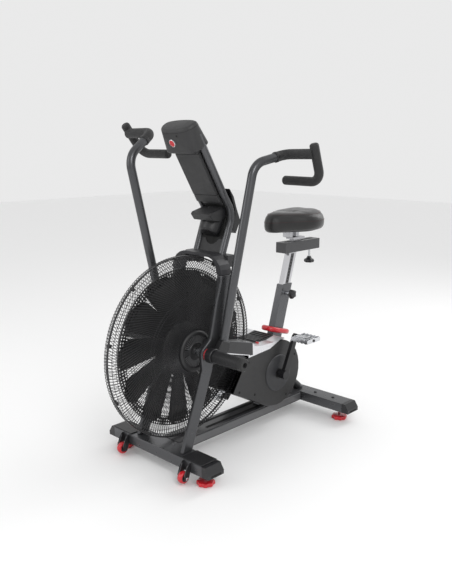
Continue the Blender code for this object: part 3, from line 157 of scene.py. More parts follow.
def surface(name, colour, rough, metallic=0.0, grain=600.0, depth=0.00006, spread=0.10,
            wear=0.0, coat=0.0, kind="noise", stretch=(1.0, 1.0, 1.0), sheen=0.0):
    """A material with patchy colour, uneven gloss, fine surface relief and lighter worn edges."""
    look = bpy.data.materials.new(name)
    look.use_nodes = True
    tree = look.node_tree
    link = tree.links.new
    shader = tree.nodes["Principled BSDF"]
    shader.inputs["Metallic"].default_value = metallic
    shader.inputs["Coat Weight"].default_value = coat
    shader.inputs["Coat Roughness"].default_value = 0.18
    shader.inputs["Sheen Weight"].default_value = sheen
    where = tree.nodes.new("ShaderNodeTexCoord")
    scaled = tree.nodes.new("ShaderNodeMapping")
    scaled.inputs["Scale"].default_value = stretch
    link(where.outputs["Object"], scaled.inputs["Vector"])
    broad = node(tree, "ShaderNodeTexNoise", Scale=9.0, Detail=5.0, Roughness=0.6)
    link(where.outputs["Object"], broad.inputs["Vector"])
    tint = ramp(tree, 0.30, 0.70, shade(colour, 1.0 - spread), shade(colour, 1.0 + spread))
    link(broad.outputs["Fac"], tint.inputs["Fac"])
    gloss = ramp(tree, 0.25, 0.75, max(0.03, rough * 0.86), min(1.0, rough * 1.16))
    mottle = node(tree, "ShaderNodeTexNoise", Scale=38.0, Detail=6.0, Roughness=0.65)
    link(scaled.outputs["Vector"], mottle.inputs["Vector"])
    link(mottle.outputs["Fac"], gloss.inputs["Fac"])
    link(gloss.outputs["Color"], shader.inputs["Roughness"])
    if kind == "cells":
        fine = node(tree, "ShaderNodeTexVoronoi", Scale=grain)
        height = fine.outputs["Distance"]
    else:
        fine = node(tree, "ShaderNodeTexNoise", Scale=grain, Detail=3.0, Roughness=0.6)
        height = fine.outputs["Fac"]
    link(scaled.outputs["Vector"], fine.inputs["Vector"])
    bump = node(tree, "ShaderNodeBump", Strength=0.6, Distance=depth * 4)
    link(height, bump.inputs["Height"])
    link(bump.outputs["Normal"], shader.inputs["Normal"])
    if wear:
        edges = tree.nodes.new("ShaderNodeNewGeometry")
        worn = ramp(tree, 0.52, 0.62, 0.0, wear)
        link(edges.outputs["Pointiness"], worn.inputs["Fac"])
        mix = tree.nodes.new("ShaderNodeMix")
        mix.data_type = "RGBA"
        link(worn.outputs["Color"], mix.inputs["Factor"])
        link(tint.outputs["Color"], mix.inputs["A"])
        mix.inputs["B"].default_value = (*shade(colour, 3.0), 1.0)
        link(mix.outputs["Result"], shader.inputs["Base Color"])
    else:
        link(tint.outputs["Color"], shader.inputs["Base Color"])
    return look


def make_looks():
    """One look for each material slot of the record, and a few for added detail.

    A row holds a name, the colour, roughness, metallic, the relief's scale and depth, the
    colour's spread, the wear on edges, the coat, the relief's kind and stretch, and the sheen.
    """
    rows = {
        "frame_grey": ("graphite_paint", (0.074, 0.075, 0.079), 0.29, 0.72, 1400, 0.00004, 0.06, 0.3, 0.0),
        "black_moulding": ("black_moulding", (0.008, 0.008, 0.009), 0.40, 0.0, 900, 0.00007, 0.2, 0.3),
        "console_plastic": ("console_plastic", (0.020, 0.020, 0.021), 0.50, 0.0, 900, 0.00008, 0.1, 0.2),
        "screen": ("screen_glass", (0.006, 0.007, 0.008), 0.08, 0.0, 60, 0.00001, 0.1, 0.0, 0.6),
        "button_plastic": ("button_plastic", (0.05, 0.05, 0.055), 0.35, 0.0, 500, 0.00004, 0.1),
        "guard_wire": ("guard_wire", (0.038, 0.038, 0.040), 0.30, 0.60, 700, 0.00002, 0.1),
        "hub_plastic": ("hub_plastic", (0.012, 0.012, 0.013), 0.44, 0.0, 900, 0.00007, 0.15, 0.25),
        "fan_plastic": ("fan_plastic", (0.005, 0.005, 0.0055), 0.46, 0.0, 500, 0.00005, 0.2, 0.15),
        "bright_steel": ("bright_steel", (0.55, 0.56, 0.58), 0.26, 1.0, 900, 0.00003, 0.06, 0.0, 0.0,
                         "noise", (1.0, 12.0, 1.0)),
        "pivot_red_ring": ("pivot_red", (0.40, 0.008, 0.015), 0.26, 0.0, 500, 0.00003, 0.1, 0.0, 0.4),
        "arch_paint": ("arch_paint", (0.020, 0.020, 0.022), 0.42, 0.2, 1200, 0.00004, 0.06, 0.3),
        "rod_steel": ("rod_steel", (0.03, 0.03, 0.032), 0.40, 0.4, 600, 0.00004, 0.1, 0.3),
        "belt_rubber": ("belt_rubber", (0.012, 0.012, 0.012), 0.75, 0.0, 400, 0.0001, 0.2),
        "shroud_plastic": ("shroud_plastic", (0.009, 0.009, 0.0095), 0.42, 0.0, 850, 0.00008, 0.12, 0.25),
        "beam_cover": ("beam_cover", (0.018, 0.018, 0.019), 0.36, 0.1, 800, 0.00006, 0.12, 0.25),
        "silver_trim": ("silver_trim", (0.72, 0.72, 0.74), 0.30, 0.9, 200, 0.00002, 0.05),
        "red_plastic": ("red_plastic", (0.50, 0.010, 0.018), 0.30, 0.0, 700, 0.00004, 0.12, 0.15, 0.3),
        "crank_steel": ("crank_paint", (0.007, 0.007, 0.008), 0.32, 0.2, 600, 0.00004, 0.15, 0.3),
        "pedal_metal": ("pedal_metal", (0.66, 0.67, 0.69), 0.24, 1.0, 500, 0.00005, 0.10),
        "chrome_post": ("chrome_post", (0.62, 0.62, 0.64), 0.12, 1.0, 300, 0.00001, 0.03),
        "carriage_steel": ("carriage_steel", (0.5, 0.5, 0.52), 0.28, 1.0, 500, 0.00004, 0.08),
        "saddle_cover": ("saddle_vinyl", (0.005, 0.0045, 0.0045), 0.33, 0.0, 520, 0.00016, 0.2, 0.0, 0.0,
                         "cells", (1.0, 1.0, 1.0), 0.15),
        "grip_foam": ("grip_foam", (0.009, 0.009, 0.0095), 0.66, 0.0, 900, 0.00018, 0.15, 0.0, 0.0, "cells",
                      (1.0, 1.0, 1.0), 0.1),
        "panel": ("console_panel", (0.021, 0.021, 0.022), 0.55, 0.0, 1100, 0.00007, 0.08, 0.15),
        "rail_paint": ("rail_paint", (0.030, 0.030, 0.032), 0.38, 0.2, 1200, 0.00004, 0.08, 0.3, 0.2),
        # painted highlight: a light grey that stands for light caught on the fin tops and along thin top and
        # side edges of the beams
        "light_edge": ("light_edge", (0.13, 0.131, 0.135), 0.34, 0.5, 1300, 0.00003, 0.05),
        "cover_grey": ("cover_grey", (0.021, 0.0215, 0.024), 0.46, 0.1, 900, 0.00006, 0.08, 0.2),
        "thread_red": ("thread_red", (0.060, 0.006, 0.008), 0.60, 0.0, 2500, 0.0001, 0.2),
        # painted shade: near black for holes, slots, grooves, recesses and gaps that are dark from shade;
        # also for black seams, screws and mouldings
        "void_black": ("void_black", (0.003, 0.003, 0.003), 0.80, 0.0, 300, 0.00002, 0.3),
    }
    return {slot: surface(*row) for slot, row in rows.items()}


# ---- mesh helpers -------------------------------------------------------------------------
SHARP = 35.0  # degrees between faces from which an edge stays sharp


def piece(name, shapes, look, body="frame", sharp=SHARP, stands_for=(), edge=0.0):
    """A new object that rides on a body, from one shape or a list of them."""
    points, faces = merged(*shapes) if isinstance(shapes, list) else merged(shapes)
    mesh = bpy.data.meshes.new(name)
    mesh.from_pydata([tuple(p) for p in points], [], faces)
    mesh.transform(Matrix.Translation((AXLE_X, 0, 0)))
    mesh.validate()
    mesh.shade_smooth()
    mesh.set_sharp_from_angle(angle=math.radians(sharp))
    mesh.materials.append(LOOKS[look])
    made = bpy.data.objects.new(name, mesh)
    bpy.context.scene.collection.objects.link(made)
    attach(made, body)
    if stands_for:
        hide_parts(*stands_for)
    return rounded(made, edge) if edge else made


def rounded(made, width, segments=3, angle=32.0):
    """Rounds the edges of a piece, or of a CAD node's shown surface."""
    bevel = made.modifiers.new("edges", "BEVEL")
    bevel.width = width
    bevel.segments = segments
    bevel.limit_method = "ANGLE"
    bevel.angle_limit = math.radians(angle)
    bevel.harden_normals = True
    return made


def turns(count):
    return [2 * math.pi * k / count for k in range(count)]


def circle(centre, across, up, radius, count):
    """Points round a centre, in the plane of two directions."""
    return [centre + (across * math.cos(t) + up * math.sin(t)) * radius for t in turns(count)]


def spun(centre, radius, along, turn, axis="Y"):
    """The point at a radius and a turn round an axis."""
    u, v = radius * math.cos(turn), radius * math.sin(turn)
    if axis == "Y":
        return Vector((centre[0] + u, along, centre[1] + v))
    return Vector((centre[0] + u, centre[1] + v, along))


def lofted(rings, loop=False):
    """Points and faces through rings of equal length, capped unless the last joins the first."""
    count = len(rings[0])
    last = (len(rings) - 1) * count
    points = [Vector(p) for ring in rings for p in ring]
    faces = []
    for start in range(0, last, count):
        for i in range(count):
            a, b = start + i, start + (i + 1) % count
            faces.append((a, b, b + count, a + count))
    if loop:
        faces += [(last + i, last + (i + 1) % count, (i + 1) % count, i) for i in range(count)]
    else:
        faces.append(tuple(reversed(range(count))))
        faces.append(tuple(range(last, last + count)))
    return points, faces


def facing_out(points, faces):
    """The same faces, turned round if the closed surface they make is inside out."""
    volume = 0.0
    for face in faces:
        a = points[face[0]]
        for i in range(1, len(face) - 1):
            volume += a.dot(points[face[i]].cross(points[face[i + 1]]))
    return faces if volume >= 0 else [tuple(reversed(f)) for f in faces]


def merged(*parts):
    """Several (points, faces) as one."""
    points, faces = [], []
    for more, ends in parts:
        start = len(points)
        points += [Vector(p) for p in more]
        faces += [tuple(i + start for i in f) for f in facing_out([Vector(p) for p in more], ends)]
    return points, faces


def bent(corners, radius, steps=10):
    """Straight runs joined by arcs."""
    path = [Vector(corners[0])]
    for before, corner, after in zip(corners, corners[1:], corners[2:]):
        corner = Vector(corner)
        back = (Vector(before) - corner).normalized()
        ahead = (Vector(after) - corner).normalized()
        half = back.angle(ahead) / 2
        first = 0.95 if before is corners[0] else 0.49
        last = 0.95 if after is corners[-1] else 0.49
        run = min(radius / math.tan(half), first * (Vector(before) - corner).length,
                  last * (Vector(after) - corner).length)
        middle = corner + (back + ahead).normalized() * (run / math.cos(half))
        start = corner + back * run - middle
        end = corner + ahead * run - middle
        for i in range(steps + 1):
            path.append(middle + start.lerp(end, i / steps).normalized() * start.length)
    path.append(Vector(corners[-1]))
    return path


def tube(path, radius, sides=32, dome=0.0):
    """A round tube along a path. dome rounds its ends by that length."""
    path = [Vector(p) for p in path]
    radii = [radius] * len(path)
    if dome:
        first, last = path[0], path[-1]
        into = (path[1] - first).normalized()
        out = (last - path[-2]).normalized()
        start, end, start_radii, end_radii = [], [], [], []
        for i in range(5):
            turn = math.pi / 2 * i / 5
            start.append(first + into * dome * (1 - math.sin(turn)))
            start_radii.append(radius - dome + dome * math.cos(turn))
            end.append(last - out * dome * (1 - math.sin(turn)))
            end_radii.append(radius - dome + dome * math.cos(turn))
        path = [*start[::-1], *path[1:-1], *end]
        radii = [*start_radii[::-1], *[radius] * (len(path) - 10), *end_radii]
    rings, side = [], None
    for i, here in enumerate(path):
        along = (path[min(i + 1, len(path) - 1)] - path[max(i - 1, 0)]).normalized()
        if side is None:
            side = Vector((0, 1, 0)) if abs(along.y) < 0.9 else Vector((1, 0, 0))
        side = (side - along * side.dot(along)).normalized()
        up = along.cross(side)
        rings.append(circle(here, side, up, radii[i], sides))
    return lofted(rings)


def turned(profile, sides=64, centre=AXLE):
    """A closed (radius, along) profile turned round an axis along Y."""
    n = len(profile)
    points = [spun(centre, radius, along, t) for t in turns(sides) for radius, along in profile]
    faces = []
    for i in range(sides):
        j = (i + 1) % sides
        for k in range(n):
            m = (k + 1) % n
            faces.append((i * n + k, i * n + m, j * n + m, j * n + k))
    return points, faces


def hoop(inner, outer, start, end):
    """The (radius, along) profile of a plain ring."""
    return [(inner, start), (outer, start), (outer, end), (inner, end)]


def sided(profile, side):
    """A profile of the left side, on either side."""
    return [(radius, side * along) for radius, along in profile]


def reach(side, near, far):
    """A span along Y between two distances out, on either side."""
    return sorted((side * near, side * far))


def disc(profile, centre, sides=64, axis="Y"):
    """An open (radius, along) profile turned round an axis and capped at both ends."""
    return lofted([[spun(centre, radius, along, t, axis) for t in turns(sides)]
                   for radius, along in profile])


def slab(outline, start, end):
    """A flat (x, z) outline with a thickness along Y."""
    return lofted([[Vector((x, y, z)) for x, z in outline] for y in (start, end)])


def block(x, y, z):
    corners = ((x[0], z[0]), (x[1], z[0]), (x[1], z[1]), (x[0], z[1]))
    return slab(corners, *y)


def cad(name, look, width):
    """A CAD node kept as it is, with a finished look and rounded edges."""
    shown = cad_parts[name]
    shown.data.materials.clear()
    shown.data.materials.append(LOOKS[look])
    shown.data.shade_smooth()
    shown.data.set_sharp_from_angle(angle=math.radians(SHARP))
    if width:
        flat = shown.modifiers.new("flat", "DECIMATE")
        flat.decimate_type = "DISSOLVE"
        flat.angle_limit = math.radians(0.6)
        rounded(shown, width, angle=SHARP)


# ---- fan guards ---------------------------------------------------------------------------
GUARD = [(0.081, 0.0727), (0.115, 0.0716), (0.150, 0.0697), (0.185, 0.0668), (0.220, 0.0626),
         (0.255, 0.0568), (0.288, 0.0497), (0.317, 0.0418), (0.338, 0.0345), (0.350, 0.0270),
         (0.3560, 0.0180), (GUARD_RADIUS, 0.0090), (GUARD_RADIUS, 0.0012)]


def guard_height(radius):
    """How far out along Y the wires are at a radius."""
    for (r0, y0), (r1, y1) in zip(GUARD, GUARD[1:]):
        if r0 <= radius <= r1:
            return y0 + (y1 - y0) * (radius - r0) / max(r1 - r0, 1e-9)
    return GUARD[-1][1]


def guard_wire(number, side):
    path = []
    for radius, y in GUARD:
        share = (GUARD_RADIUS - radius) / (GUARD_RADIUS - GUARD[0][0])
        turn = 2 * math.pi * (number + (0.5 if side < 0 else 0.0)) / WIRES
        turn += side * SWIRL * share ** 1.5
        path.append(Vector((radius * math.cos(turn), side * y, AXLE_Z + radius * math.sin(turn))))
    return tube(path, WIRE, 5)


def guard_ring(radius, side):
    """A thin ring that the wires rest on."""
    thick = 0.0010
    y = guard_height(radius) - 2 * thick
    return turned([(radius + thick * math.cos(t), side * y + thick * math.sin(t)) for t in turns(8)], 128)


def spoke(turn):
    """The directions out from the axle and across, at a turn round it."""
    out = Vector((math.cos(turn), 0, math.sin(turn)))
    return out, Vector((-out.z, 0, out.x))


def make_guards():
    for name, side in SIDES:
        wires = [guard_wire(i, side) for i in range(WIRES)]
        piece(f"guard_wires_{name}", wires, "guard_wire", stands_for=(f"cage_{name}",), sharp=80)
        rings = [guard_ring(radius, side) for radius in (0.198, 0.211, 0.341, 0.352)]
        piece(f"guard_rings_{name}", rings, "guard_wire", sharp=80)
        band = sided(hoop(0.0704, 0.0845, 0.0706, 0.0738), side)
        piece(f"guard_hub_band_{name}", turned(band, 96), "guard_wire")
    piece("guard_rim", turned(hoop(0.3545, 0.3586, -0.0036, 0.0036), 160), "guard_wire")
    clips = []
    for i in range(CLIPS):
        out, across = spoke(2 * math.pi * (i + 0.35) / CLIPS)
        middle = AXLE_POINT + out * 0.3525
        rings = [[middle + across * u + Vector((0, v, 0)) + out * w
                  for u, v in ((-0.006, -0.009), (0.006, -0.009), (0.006, 0.009), (-0.006, 0.009))]
                 for w in (-0.005, 0.0060)]
        clips.append(lofted(rings))
    piece("guard_clips", clips, "black_moulding", edge=0.0012)


# ---- rotor --------------------------------------------------------------------------------
def blade(number):
    """A broad scoop: narrow at the hub, wide at the tip ring, hollow across and twisted."""
    turn = 2 * math.pi * number / BLADES + 0.11
    start, end = 0.088, TIP_RADIUS - 0.008
    thick = Vector((0, 0.0013, 0))  # half of the sheet's
    rings = []
    for step in range(19):
        share = step / 18
        half = 0.023 + 0.043 * share ** 0.75
        half *= 1 - 0.42 * max(0.0, share - 0.86) ** 1.5 / 0.14 ** 1.5  # rounded at the tip
        pitch = 0.006 + 0.006 * math.sin(math.pi * min(1.0, share * 1.1) / 2)
        out, across = spoke(turn + 0.16 * (1 - share) ** 2)
        middle = AXLE_POINT + out * (start + (end - start) * share)
        front, back = [], []
        for k in range(11):
            t = -1 + 0.2 * k
            here = middle + across * half * t + Vector((0, t * pitch - 0.012 * (1 - t * t) + 0.004, 0))
            front.append(here + thick)
            back.append(here - thick)
        rings.append(front + back[::-1])
    return lofted(rings)


def perforated_ring():
    """The tip ring: three rows of eight-sided holes through a thin annulus."""
    columns, rows = 156, 3
    inner = TIP_RADIUS - TIP_WIDTH
    points, faces = [], []

    def spot(column, row):
        radius = inner + TIP_WIDTH * row / rows
        t = 2 * math.pi * column / columns
        return Vector((radius * math.cos(t), 0.0, AXLE_Z + radius * math.sin(t)))

    grid = {}
    for row in range(rows + 1):
        for column in range(columns):
            grid[(column, row)] = len(points)
            points.append(spot(column, row))
    for row in range(rows):
        for column in range(columns):
            following = (column + 1) % columns
            corners = [grid[(column, row)], grid[(following, row)], grid[(following, row + 1)],
                       grid[(column, row + 1)]]
            start = len(points)
            for k in range(8):
                t = 2 * math.pi * (k + 0.5) / 8 - math.pi * 0.75
                points.append(spot(column + 0.5 + 0.33 * math.cos(t), row + 0.5 + 0.33 * math.sin(t)))
            for k in range(4):
                a, b = start + 2 * k, start + (2 * k + 1)
                last = start + (2 * k - 1) % 8
                faces.append((corners[k], a, last))
                faces.append((corners[k], corners[(k + 1) % 4], b, a))
    return points, faces


def make_rotor():
    hub = [(0.0106, 0.056), (0.0106, -0.0880), (0.019, -0.0880), (0.019, -0.0740), (0.022, -0.0700),
           (0.024, -0.034), (0.040, -0.020), (0.097, -0.011), (0.104, -0.004), (0.104, 0.004),
           (0.097, 0.011), (0.040, 0.020), (0.024, 0.034), (0.022, 0.056)]
    parts = [turned(hub, 72)] + [blade(i) for i in range(BLADES)]
    piece("rotor_wheel", parts, "fan_plastic", "fan", stands_for=("fan_rotor",), sharp=50)
    ring = piece("rotor_tip_ring", perforated_ring(), "fan_plastic", "fan")
    solid = ring.modifiers.new("thickness", "SOLIDIFY")
    solid.thickness = 0.0022
    solid.offset = 0.0
    lip = hoop(TIP_RADIUS - 0.0016, TIP_RADIUS, -0.004, 0.004)
    piece("rotor_tip_lip", turned(lip, 128), "fan_plastic", "fan")


def make_hub_cap():
    """Thick round rim, two arcs of vent fins, a plain band across and a raised boss."""
    rim = [(0.0605, CAP_BACK)]
    for k in range(12, -1, -1):
        t = math.pi * k / 12
        rim.append((0.0705 + 0.0100 * math.cos(t), 0.0766 + 0.0082 * math.sin(t)))
    rim.append((0.0805, CAP_BACK))
    piece("hub_cap_rim", turned(rim, 96), "hub_plastic",
          stands_for=("hub_cap",), sharp=60)
    # painted shade: the recessed floor inside the cap rim is near black
    piece("hub_cap_floor", turned(hoop(AXLE_BORE, 0.0625, CAP_BACK, 0.0762), 72), "void_black")
    fins = []
    for k in range(FINS):
        turn = 2 * math.pi * (k + 0.5) / FINS
        if abs(math.sin(turn)) < 0.34:
            continue
        out, across = spoke(turn)
        across *= 0.0017
        rise = Vector((0, 0.0045, 0))
        ends = [AXLE_POINT + out * radius + Vector((0, 0.0755, 0)) for radius in (0.034, 0.0615)]
        fins.append(lofted([[p - across, p + across, p + across * 0.7 + rise, p - across * 0.7 + rise]
                            for p in ends]))
    # painted highlight: the fins are light grey against the black cap
    piece("hub_cap_fins", fins, "light_edge")
    boss = [(AXLE_BORE, 0.0758), (0.0355, 0.0758), (0.0355, 0.0800), (0.0335, 0.0818), (0.029, 0.0822),
            (0.027, 0.0806), (0.020, 0.0806), (0.018, 0.0850), (AXLE_BORE, 0.0850)]
    piece("hub_cap_boss", turned(boss, 72), "hub_plastic")
    bars = [block(reach(side, 0.030, 0.0615), (0.0758, 0.0806), (AXLE_Z - 0.011, AXLE_Z + 0.011))
            for side in (1, -1)]
    piece("hub_cap_band", bars, "hub_plastic", edge=0.0012)


# ---- arms, grips and pegs -----------------------------------------------------------------
def swung(x, z, side):
    turn = -side * ARM_REST
    lift = z - AXLE_Z
    return (x * math.cos(turn) + lift * math.sin(turn), AXLE_Z - x * math.sin(turn) + lift * math.cos(turn))


def arm_points(side, points):
    made = []
    for x, y, z in points:
        at = swung(x, z, side)
        made.append((at[0], side * y, at[1]))
    return made


ARM_FOOT = (ARM_BACK, ARM_Y, AXLE_Z + 0.030)
ARM_BEND = (ARM_BACK, 0.190, 1.182)
GRIP_CORNER = (-0.208, 0.2115, 1.2455)


def arm_run(part):
    return tuple(a + (b - a) * part for a, b in zip(ARM_BEND, GRIP_CORNER))


def make_arm(name, side):
    path = bent(arm_points(side, [ARM_FOOT, ARM_BEND, arm_run(0.80)]), 0.070, 14)
    body = f"arm_{name}"
    piece(f"arm_tube_{name}", tube(path, ARM_RADIUS, 36), "frame_grey", body,
          stands_for=(f"arm_{name}",), sharp=60)
    inner, outer = FORK_OUT + 0.0142, PEG_IN - 0.0006
    hub = sided([(0.0140, inner), (0.0270, inner), (0.0290, inner + 0.002), (0.0290, outer - 0.002),
                 (0.0270, outer), (0.0140, outer)], side)
    piece(f"arm_hub_{name}", turned(hub, 56), "black_moulding", body)
    sleeve = sided(hoop(0.0108, 0.0170, 0.0995, 0.178), side)
    piece(f"arm_sleeve_{name}", turned(sleeve, 48), "bright_steel", body)
    outline = [(-0.016, -0.022), (-0.016, 0.020), (ARM_BACK + 0.024, 0.060), (ARM_BACK - 0.019, 0.052),
               (ARM_BACK - 0.021, 0.022), (ARM_BACK + 0.010, -0.010)]
    turned_outline = [swung(x, AXLE_Z + lift, side) for x, lift in outline]
    shell = slab(turned_outline, side * (FORK_OUT + 0.0150), side * (PEG_IN - 0.005))
    rounded(piece(f"arm_bracket_{name}", shell, "black_moulding", body), 0.005, 4)
    tip = Vector(swung(-0.030, AXLE_Z + 0.0445, side))
    base = Vector((0, AXLE_Z))
    along = (tip - base).normalized()
    across = Vector((-along.y, along.x))
    lever = [base + across * 0.014 + along * 0.012, tip + across * 0.008,
             tip + along * 0.007 + across * 0.004,
             tip + along * 0.007 - across * 0.004, tip - across * 0.008,
             base - across * 0.014 + along * 0.012]
    plate = slab([tuple(p) for p in lever], side * 0.0985, side * 0.1065)
    piece(f"arm_lever_{name}", plate, "rod_steel", body, edge=0.0015)


def make_grip(name, side):
    body = f"arm_{name}"
    top = bent(arm_points(side, [arm_run(0.667), GRIP_CORNER, (-0.200, 0.350, 1.246)]), 0.032, 12)
    bow = bent(arm_points(side, [(-0.192, 0.350, 1.284), (-0.262, 0.356, 1.152), (-0.2545, 0.182, 1.153)]),
               0.042, 14)
    piece(f"grip_top_{name}", tube(top, 0.0193, 36, 0.003), "grip_foam", body,
          stands_for=(f"grip_{name}",), sharp=60)
    piece(f"grip_bow_{name}", tube(bow, 0.0178, 36, 0.010), "grip_foam", body, sharp=60)
    start = Vector(top[0])
    run = (Vector(top[1]) - start).normalized()
    collar = tube([start - run * 0.004, start + run * 0.010], 0.0203, 36, 0.002)
    piece(f"grip_collar_{name}", collar, "black_moulding", body, sharp=60)


def make_peg(name, side):
    bore, ridge, groove, ribs = AXLE_BORE, 0.0245, 0.0232, 15
    start, end = PEG_IN + 0.006, PEG_OUT - 0.022
    pitch = (end - start) / ribs
    profile = [(bore, PEG_IN), (0.0215, PEG_IN), (ridge, PEG_IN + 0.003)]
    for k in range(ribs):
        y = start + (end - start) * k / ribs
        profile += [(ridge, y), (ridge, y + pitch * 0.60), (groove, y + pitch * 0.70),
                    (groove, y + pitch * 0.92)]
    profile = sided(profile + [(ridge, end), (ridge, end + 0.002), (bore, end + 0.002)], side)
    piece(f"peg_sleeve_{name}", turned(profile, 48), "black_moulding",
          stands_for=(f"foot_peg_{name}",))
    cap = sided([(bore, end + 0.0025), (0.0243, end + 0.0025), (0.0243, PEG_OUT - 0.004), (0.0205, PEG_OUT),
                 (bore, PEG_OUT)], side)
    piece(f"peg_end_{name}", turned(cap, 48), "grip_foam")


def make_pivot_ring(name, side):
    base = FORK_OUT + 0.0004
    red = sided([(0.0178, base), (0.0234, base), (0.0234, base + 0.0100), (0.0222, base + 0.0118),
                 (0.0178, base + 0.0118)], side)
    piece(f"pivot_red_{name}", turned(red, 56), "pivot_red_ring",
          stands_for=(f"pivot_ring_{name}",))
    steel = sided(hoop(0.0235, 0.0252, base + 0.0015, base + 0.0060), side)
    piece(f"pivot_steel_{name}", turned(steel, 56), "bright_steel")


# ---- uprights, mast and console -----------------------------------------------------------
SLOPE_FOOT = Vector((-0.165, 0, 1.033))
SLOPE = Vector((0.5133, 0, 0.8582))
FACE = Vector((-0.8582, 0, 0.5133))
HEAD_LOW, HEAD_HIGH, HEAD_HALF = 0.215, 0.314, 0.085
PANEL_HALF = 0.0625
FOOT_BOW, CAP_BOW = 0.34, 0.80  # the head runs from a boxy foot to an oval cap


def on_console(y, along, out):
    return SLOPE_FOOT + SLOPE * along + FACE * out + Vector((0, y, 0))


def console_ring(half, front, back, along, bow, count=72):
    """front is the depth on the side away from the rider. A smaller bow makes that side flatter."""
    ring = []
    for t in turns(count):
        c, s = math.cos(t), math.sin(t)
        y = half * math.copysign(abs(c) ** (bow + 0.06), c)
        depth = back if s > 0 else front
        ring.append(on_console(y, along, depth * math.copysign(abs(s) ** bow, s)))
    return ring


def make_fork(name, side):
    """One side plate: the leg down to the front stabilizer and the upright up to the arch."""
    foot = BAR_HIGH + 0.0004
    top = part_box(f"fork_{name}")[1].z
    outline = [(0.130, foot), (0.0200, AXLE_Z - 0.058), (0.0240, AXLE_Z - 0.022), (0.0250, AXLE_Z),
               (0.0220, AXLE_Z + 0.018), (0.0020, AXLE_Z + 0.034), (-0.020, AXLE_Z + 0.052),
               (-0.056, top - 0.092), (-0.078, top - 0.025), (-0.080, top), (-0.135, top),
               (-0.124, top - 0.102), (-0.085, AXLE_Z + 0.0335), (-0.040, AXLE_Z - 0.026),
               (-0.031, AXLE_Z - 0.072), (0.078, foot)]
    slim = FORK_IN + 0.0075
    inner = [Vector((x, side * (FORK_IN if z > top - 0.03 else slim), z)) for x, z in outline]
    outer = [Vector((x, side * FORK_OUT, z)) for x, z in outline]
    plate = piece(f"fork_plate_{name}", lofted([inner, outer]), "frame_grey",
                  stands_for=(f"fork_{name}",))
    rounded(plate, 0.006, 4, 28.0)


def make_mast():
    for name, side in SIDES:
        y = side * MAST_Y
        corners = [(-0.138, y, 0.7715), (-0.211, y, 0.967), (-0.165, y, 1.033), (-0.028, y, 1.262)]
        path = bent(corners, 0.090, 12)
        piece(f"mast_{name}", tube(path, MAST_RADIUS, 32), "frame_grey",
              stands_for=(f"mast_tube_{name}",), sharp=60)


def make_console():
    head = [(0.010, HEAD_LOW, FOOT_BOW), (0.004, HEAD_LOW + 0.0012, FOOT_BOW),
            (0.0012, HEAD_LOW + 0.004, FOOT_BOW), (0.0, HEAD_LOW + 0.008, FOOT_BOW),
            (0.0, HEAD_HIGH - 0.012, CAP_BOW), (0.0014, HEAD_HIGH - 0.006, CAP_BOW),
            (0.005, HEAD_HIGH - 0.002, CAP_BOW), (0.012, HEAD_HIGH, CAP_BOW)]
    rings = [console_ring(HEAD_HALF - inset, 0.054 - inset, 0.030 - inset, along, bow)
             for inset, along, bow in head]
    piece("console_head", lofted(rings), "console_plastic",
          stands_for=("console_housing",), sharp=40)
    seam = [console_ring(HEAD_HALF + 0.0002, 0.0542, 0.0302, HEAD_HIGH - 0.0125 - d, CAP_BOW)
            for d in (0.0, 0.0012)]
    piece("console_cap_seam", lofted(seam), "void_black")
    inner = MAST_Y - MAST_RADIUS - 0.001
    for name, look, edge, half, along, out in (
            ("body", "console_plastic", 0.002, inner, (-0.034, HEAD_LOW + 0.004), (-0.010, 0.016)),
            ("panel", "panel", 0.0015, PANEL_HALF, (0.022, HEAD_LOW - 0.014), (-0.0285, -0.0152)),
            ("foot_panel", "panel", 0.0015, PANEL_HALF, (-0.012, 0.0195), (-0.0275, -0.0152)),
            # painted shade: the core is a near-black slab that darkens the gap between the panel and the body
            ("core", "void_black", 0.0, inner - 0.005, (-0.012, HEAD_LOW + 0.002), (-0.0262, -0.0095)),
            ("band", "console_plastic", 0.002, PANEL_HALF + 0.002, (HEAD_LOW - 0.0125, HEAD_LOW - 0.001),
             (-0.0300, -0.0152))):
        piece(f"console_{name}", slab_on_console(half, along, out), look, edge=edge)
    make_badge()
    make_screen()


def slab_on_console(half, along, out):
    corners = ((-half, out[0]), (half, out[0]), (half, out[1]), (-half, out[1]))
    return lofted([[on_console(y, a, o) for y, o in corners] for a in along])


def head_front(y, along):
    """The point of the head's front surface at a height along the console."""
    bow = FOOT_BOW + (CAP_BOW - FOOT_BOW) * (along - HEAD_LOW) / (HEAD_HIGH - HEAD_LOW)
    share = min(0.999, abs(y) / HEAD_HALF) ** (1 / (bow + 0.06))
    depth = 0.0545 * (1 - share ** 2) ** (bow / 2)
    return on_console(y, along, -depth)


def round_plate(centre, normal, radius, thick, sides=40):
    side = normal.cross(Vector((0, 1, 0))).normalized()
    up = side.cross(normal)
    levels = ((radius, -0.001), (radius, thick * 0.6), (radius * 0.94, thick))
    return lofted([circle(centre + normal * rise, side, up, r, sides) for r, rise in levels])


def make_badge():
    """A plain round badge and a screw recess on the front of the head."""
    y, along = -0.016, HEAD_LOW + 0.047
    centre = head_front(y, along)
    across = head_front(y + 0.004, along) - head_front(y - 0.004, along)
    normal = across.normalized().cross(SLOPE).normalized()
    if normal.dot(FACE) > 0:
        normal = -normal
    piece("badge_rim", round_plate(centre, normal, 0.0150, 0.0022), "silver_trim")
    piece("badge_face", round_plate(centre, normal, 0.0128, 0.0028), "red_plastic")
    screw = head_front(0.022, HEAD_HIGH - 0.024)
    # painted shade: the screw recess is a flat near-black disc
    piece("head_screw", round_plate(screw, -FACE, 0.0036, 0.0006, 24), "void_black")


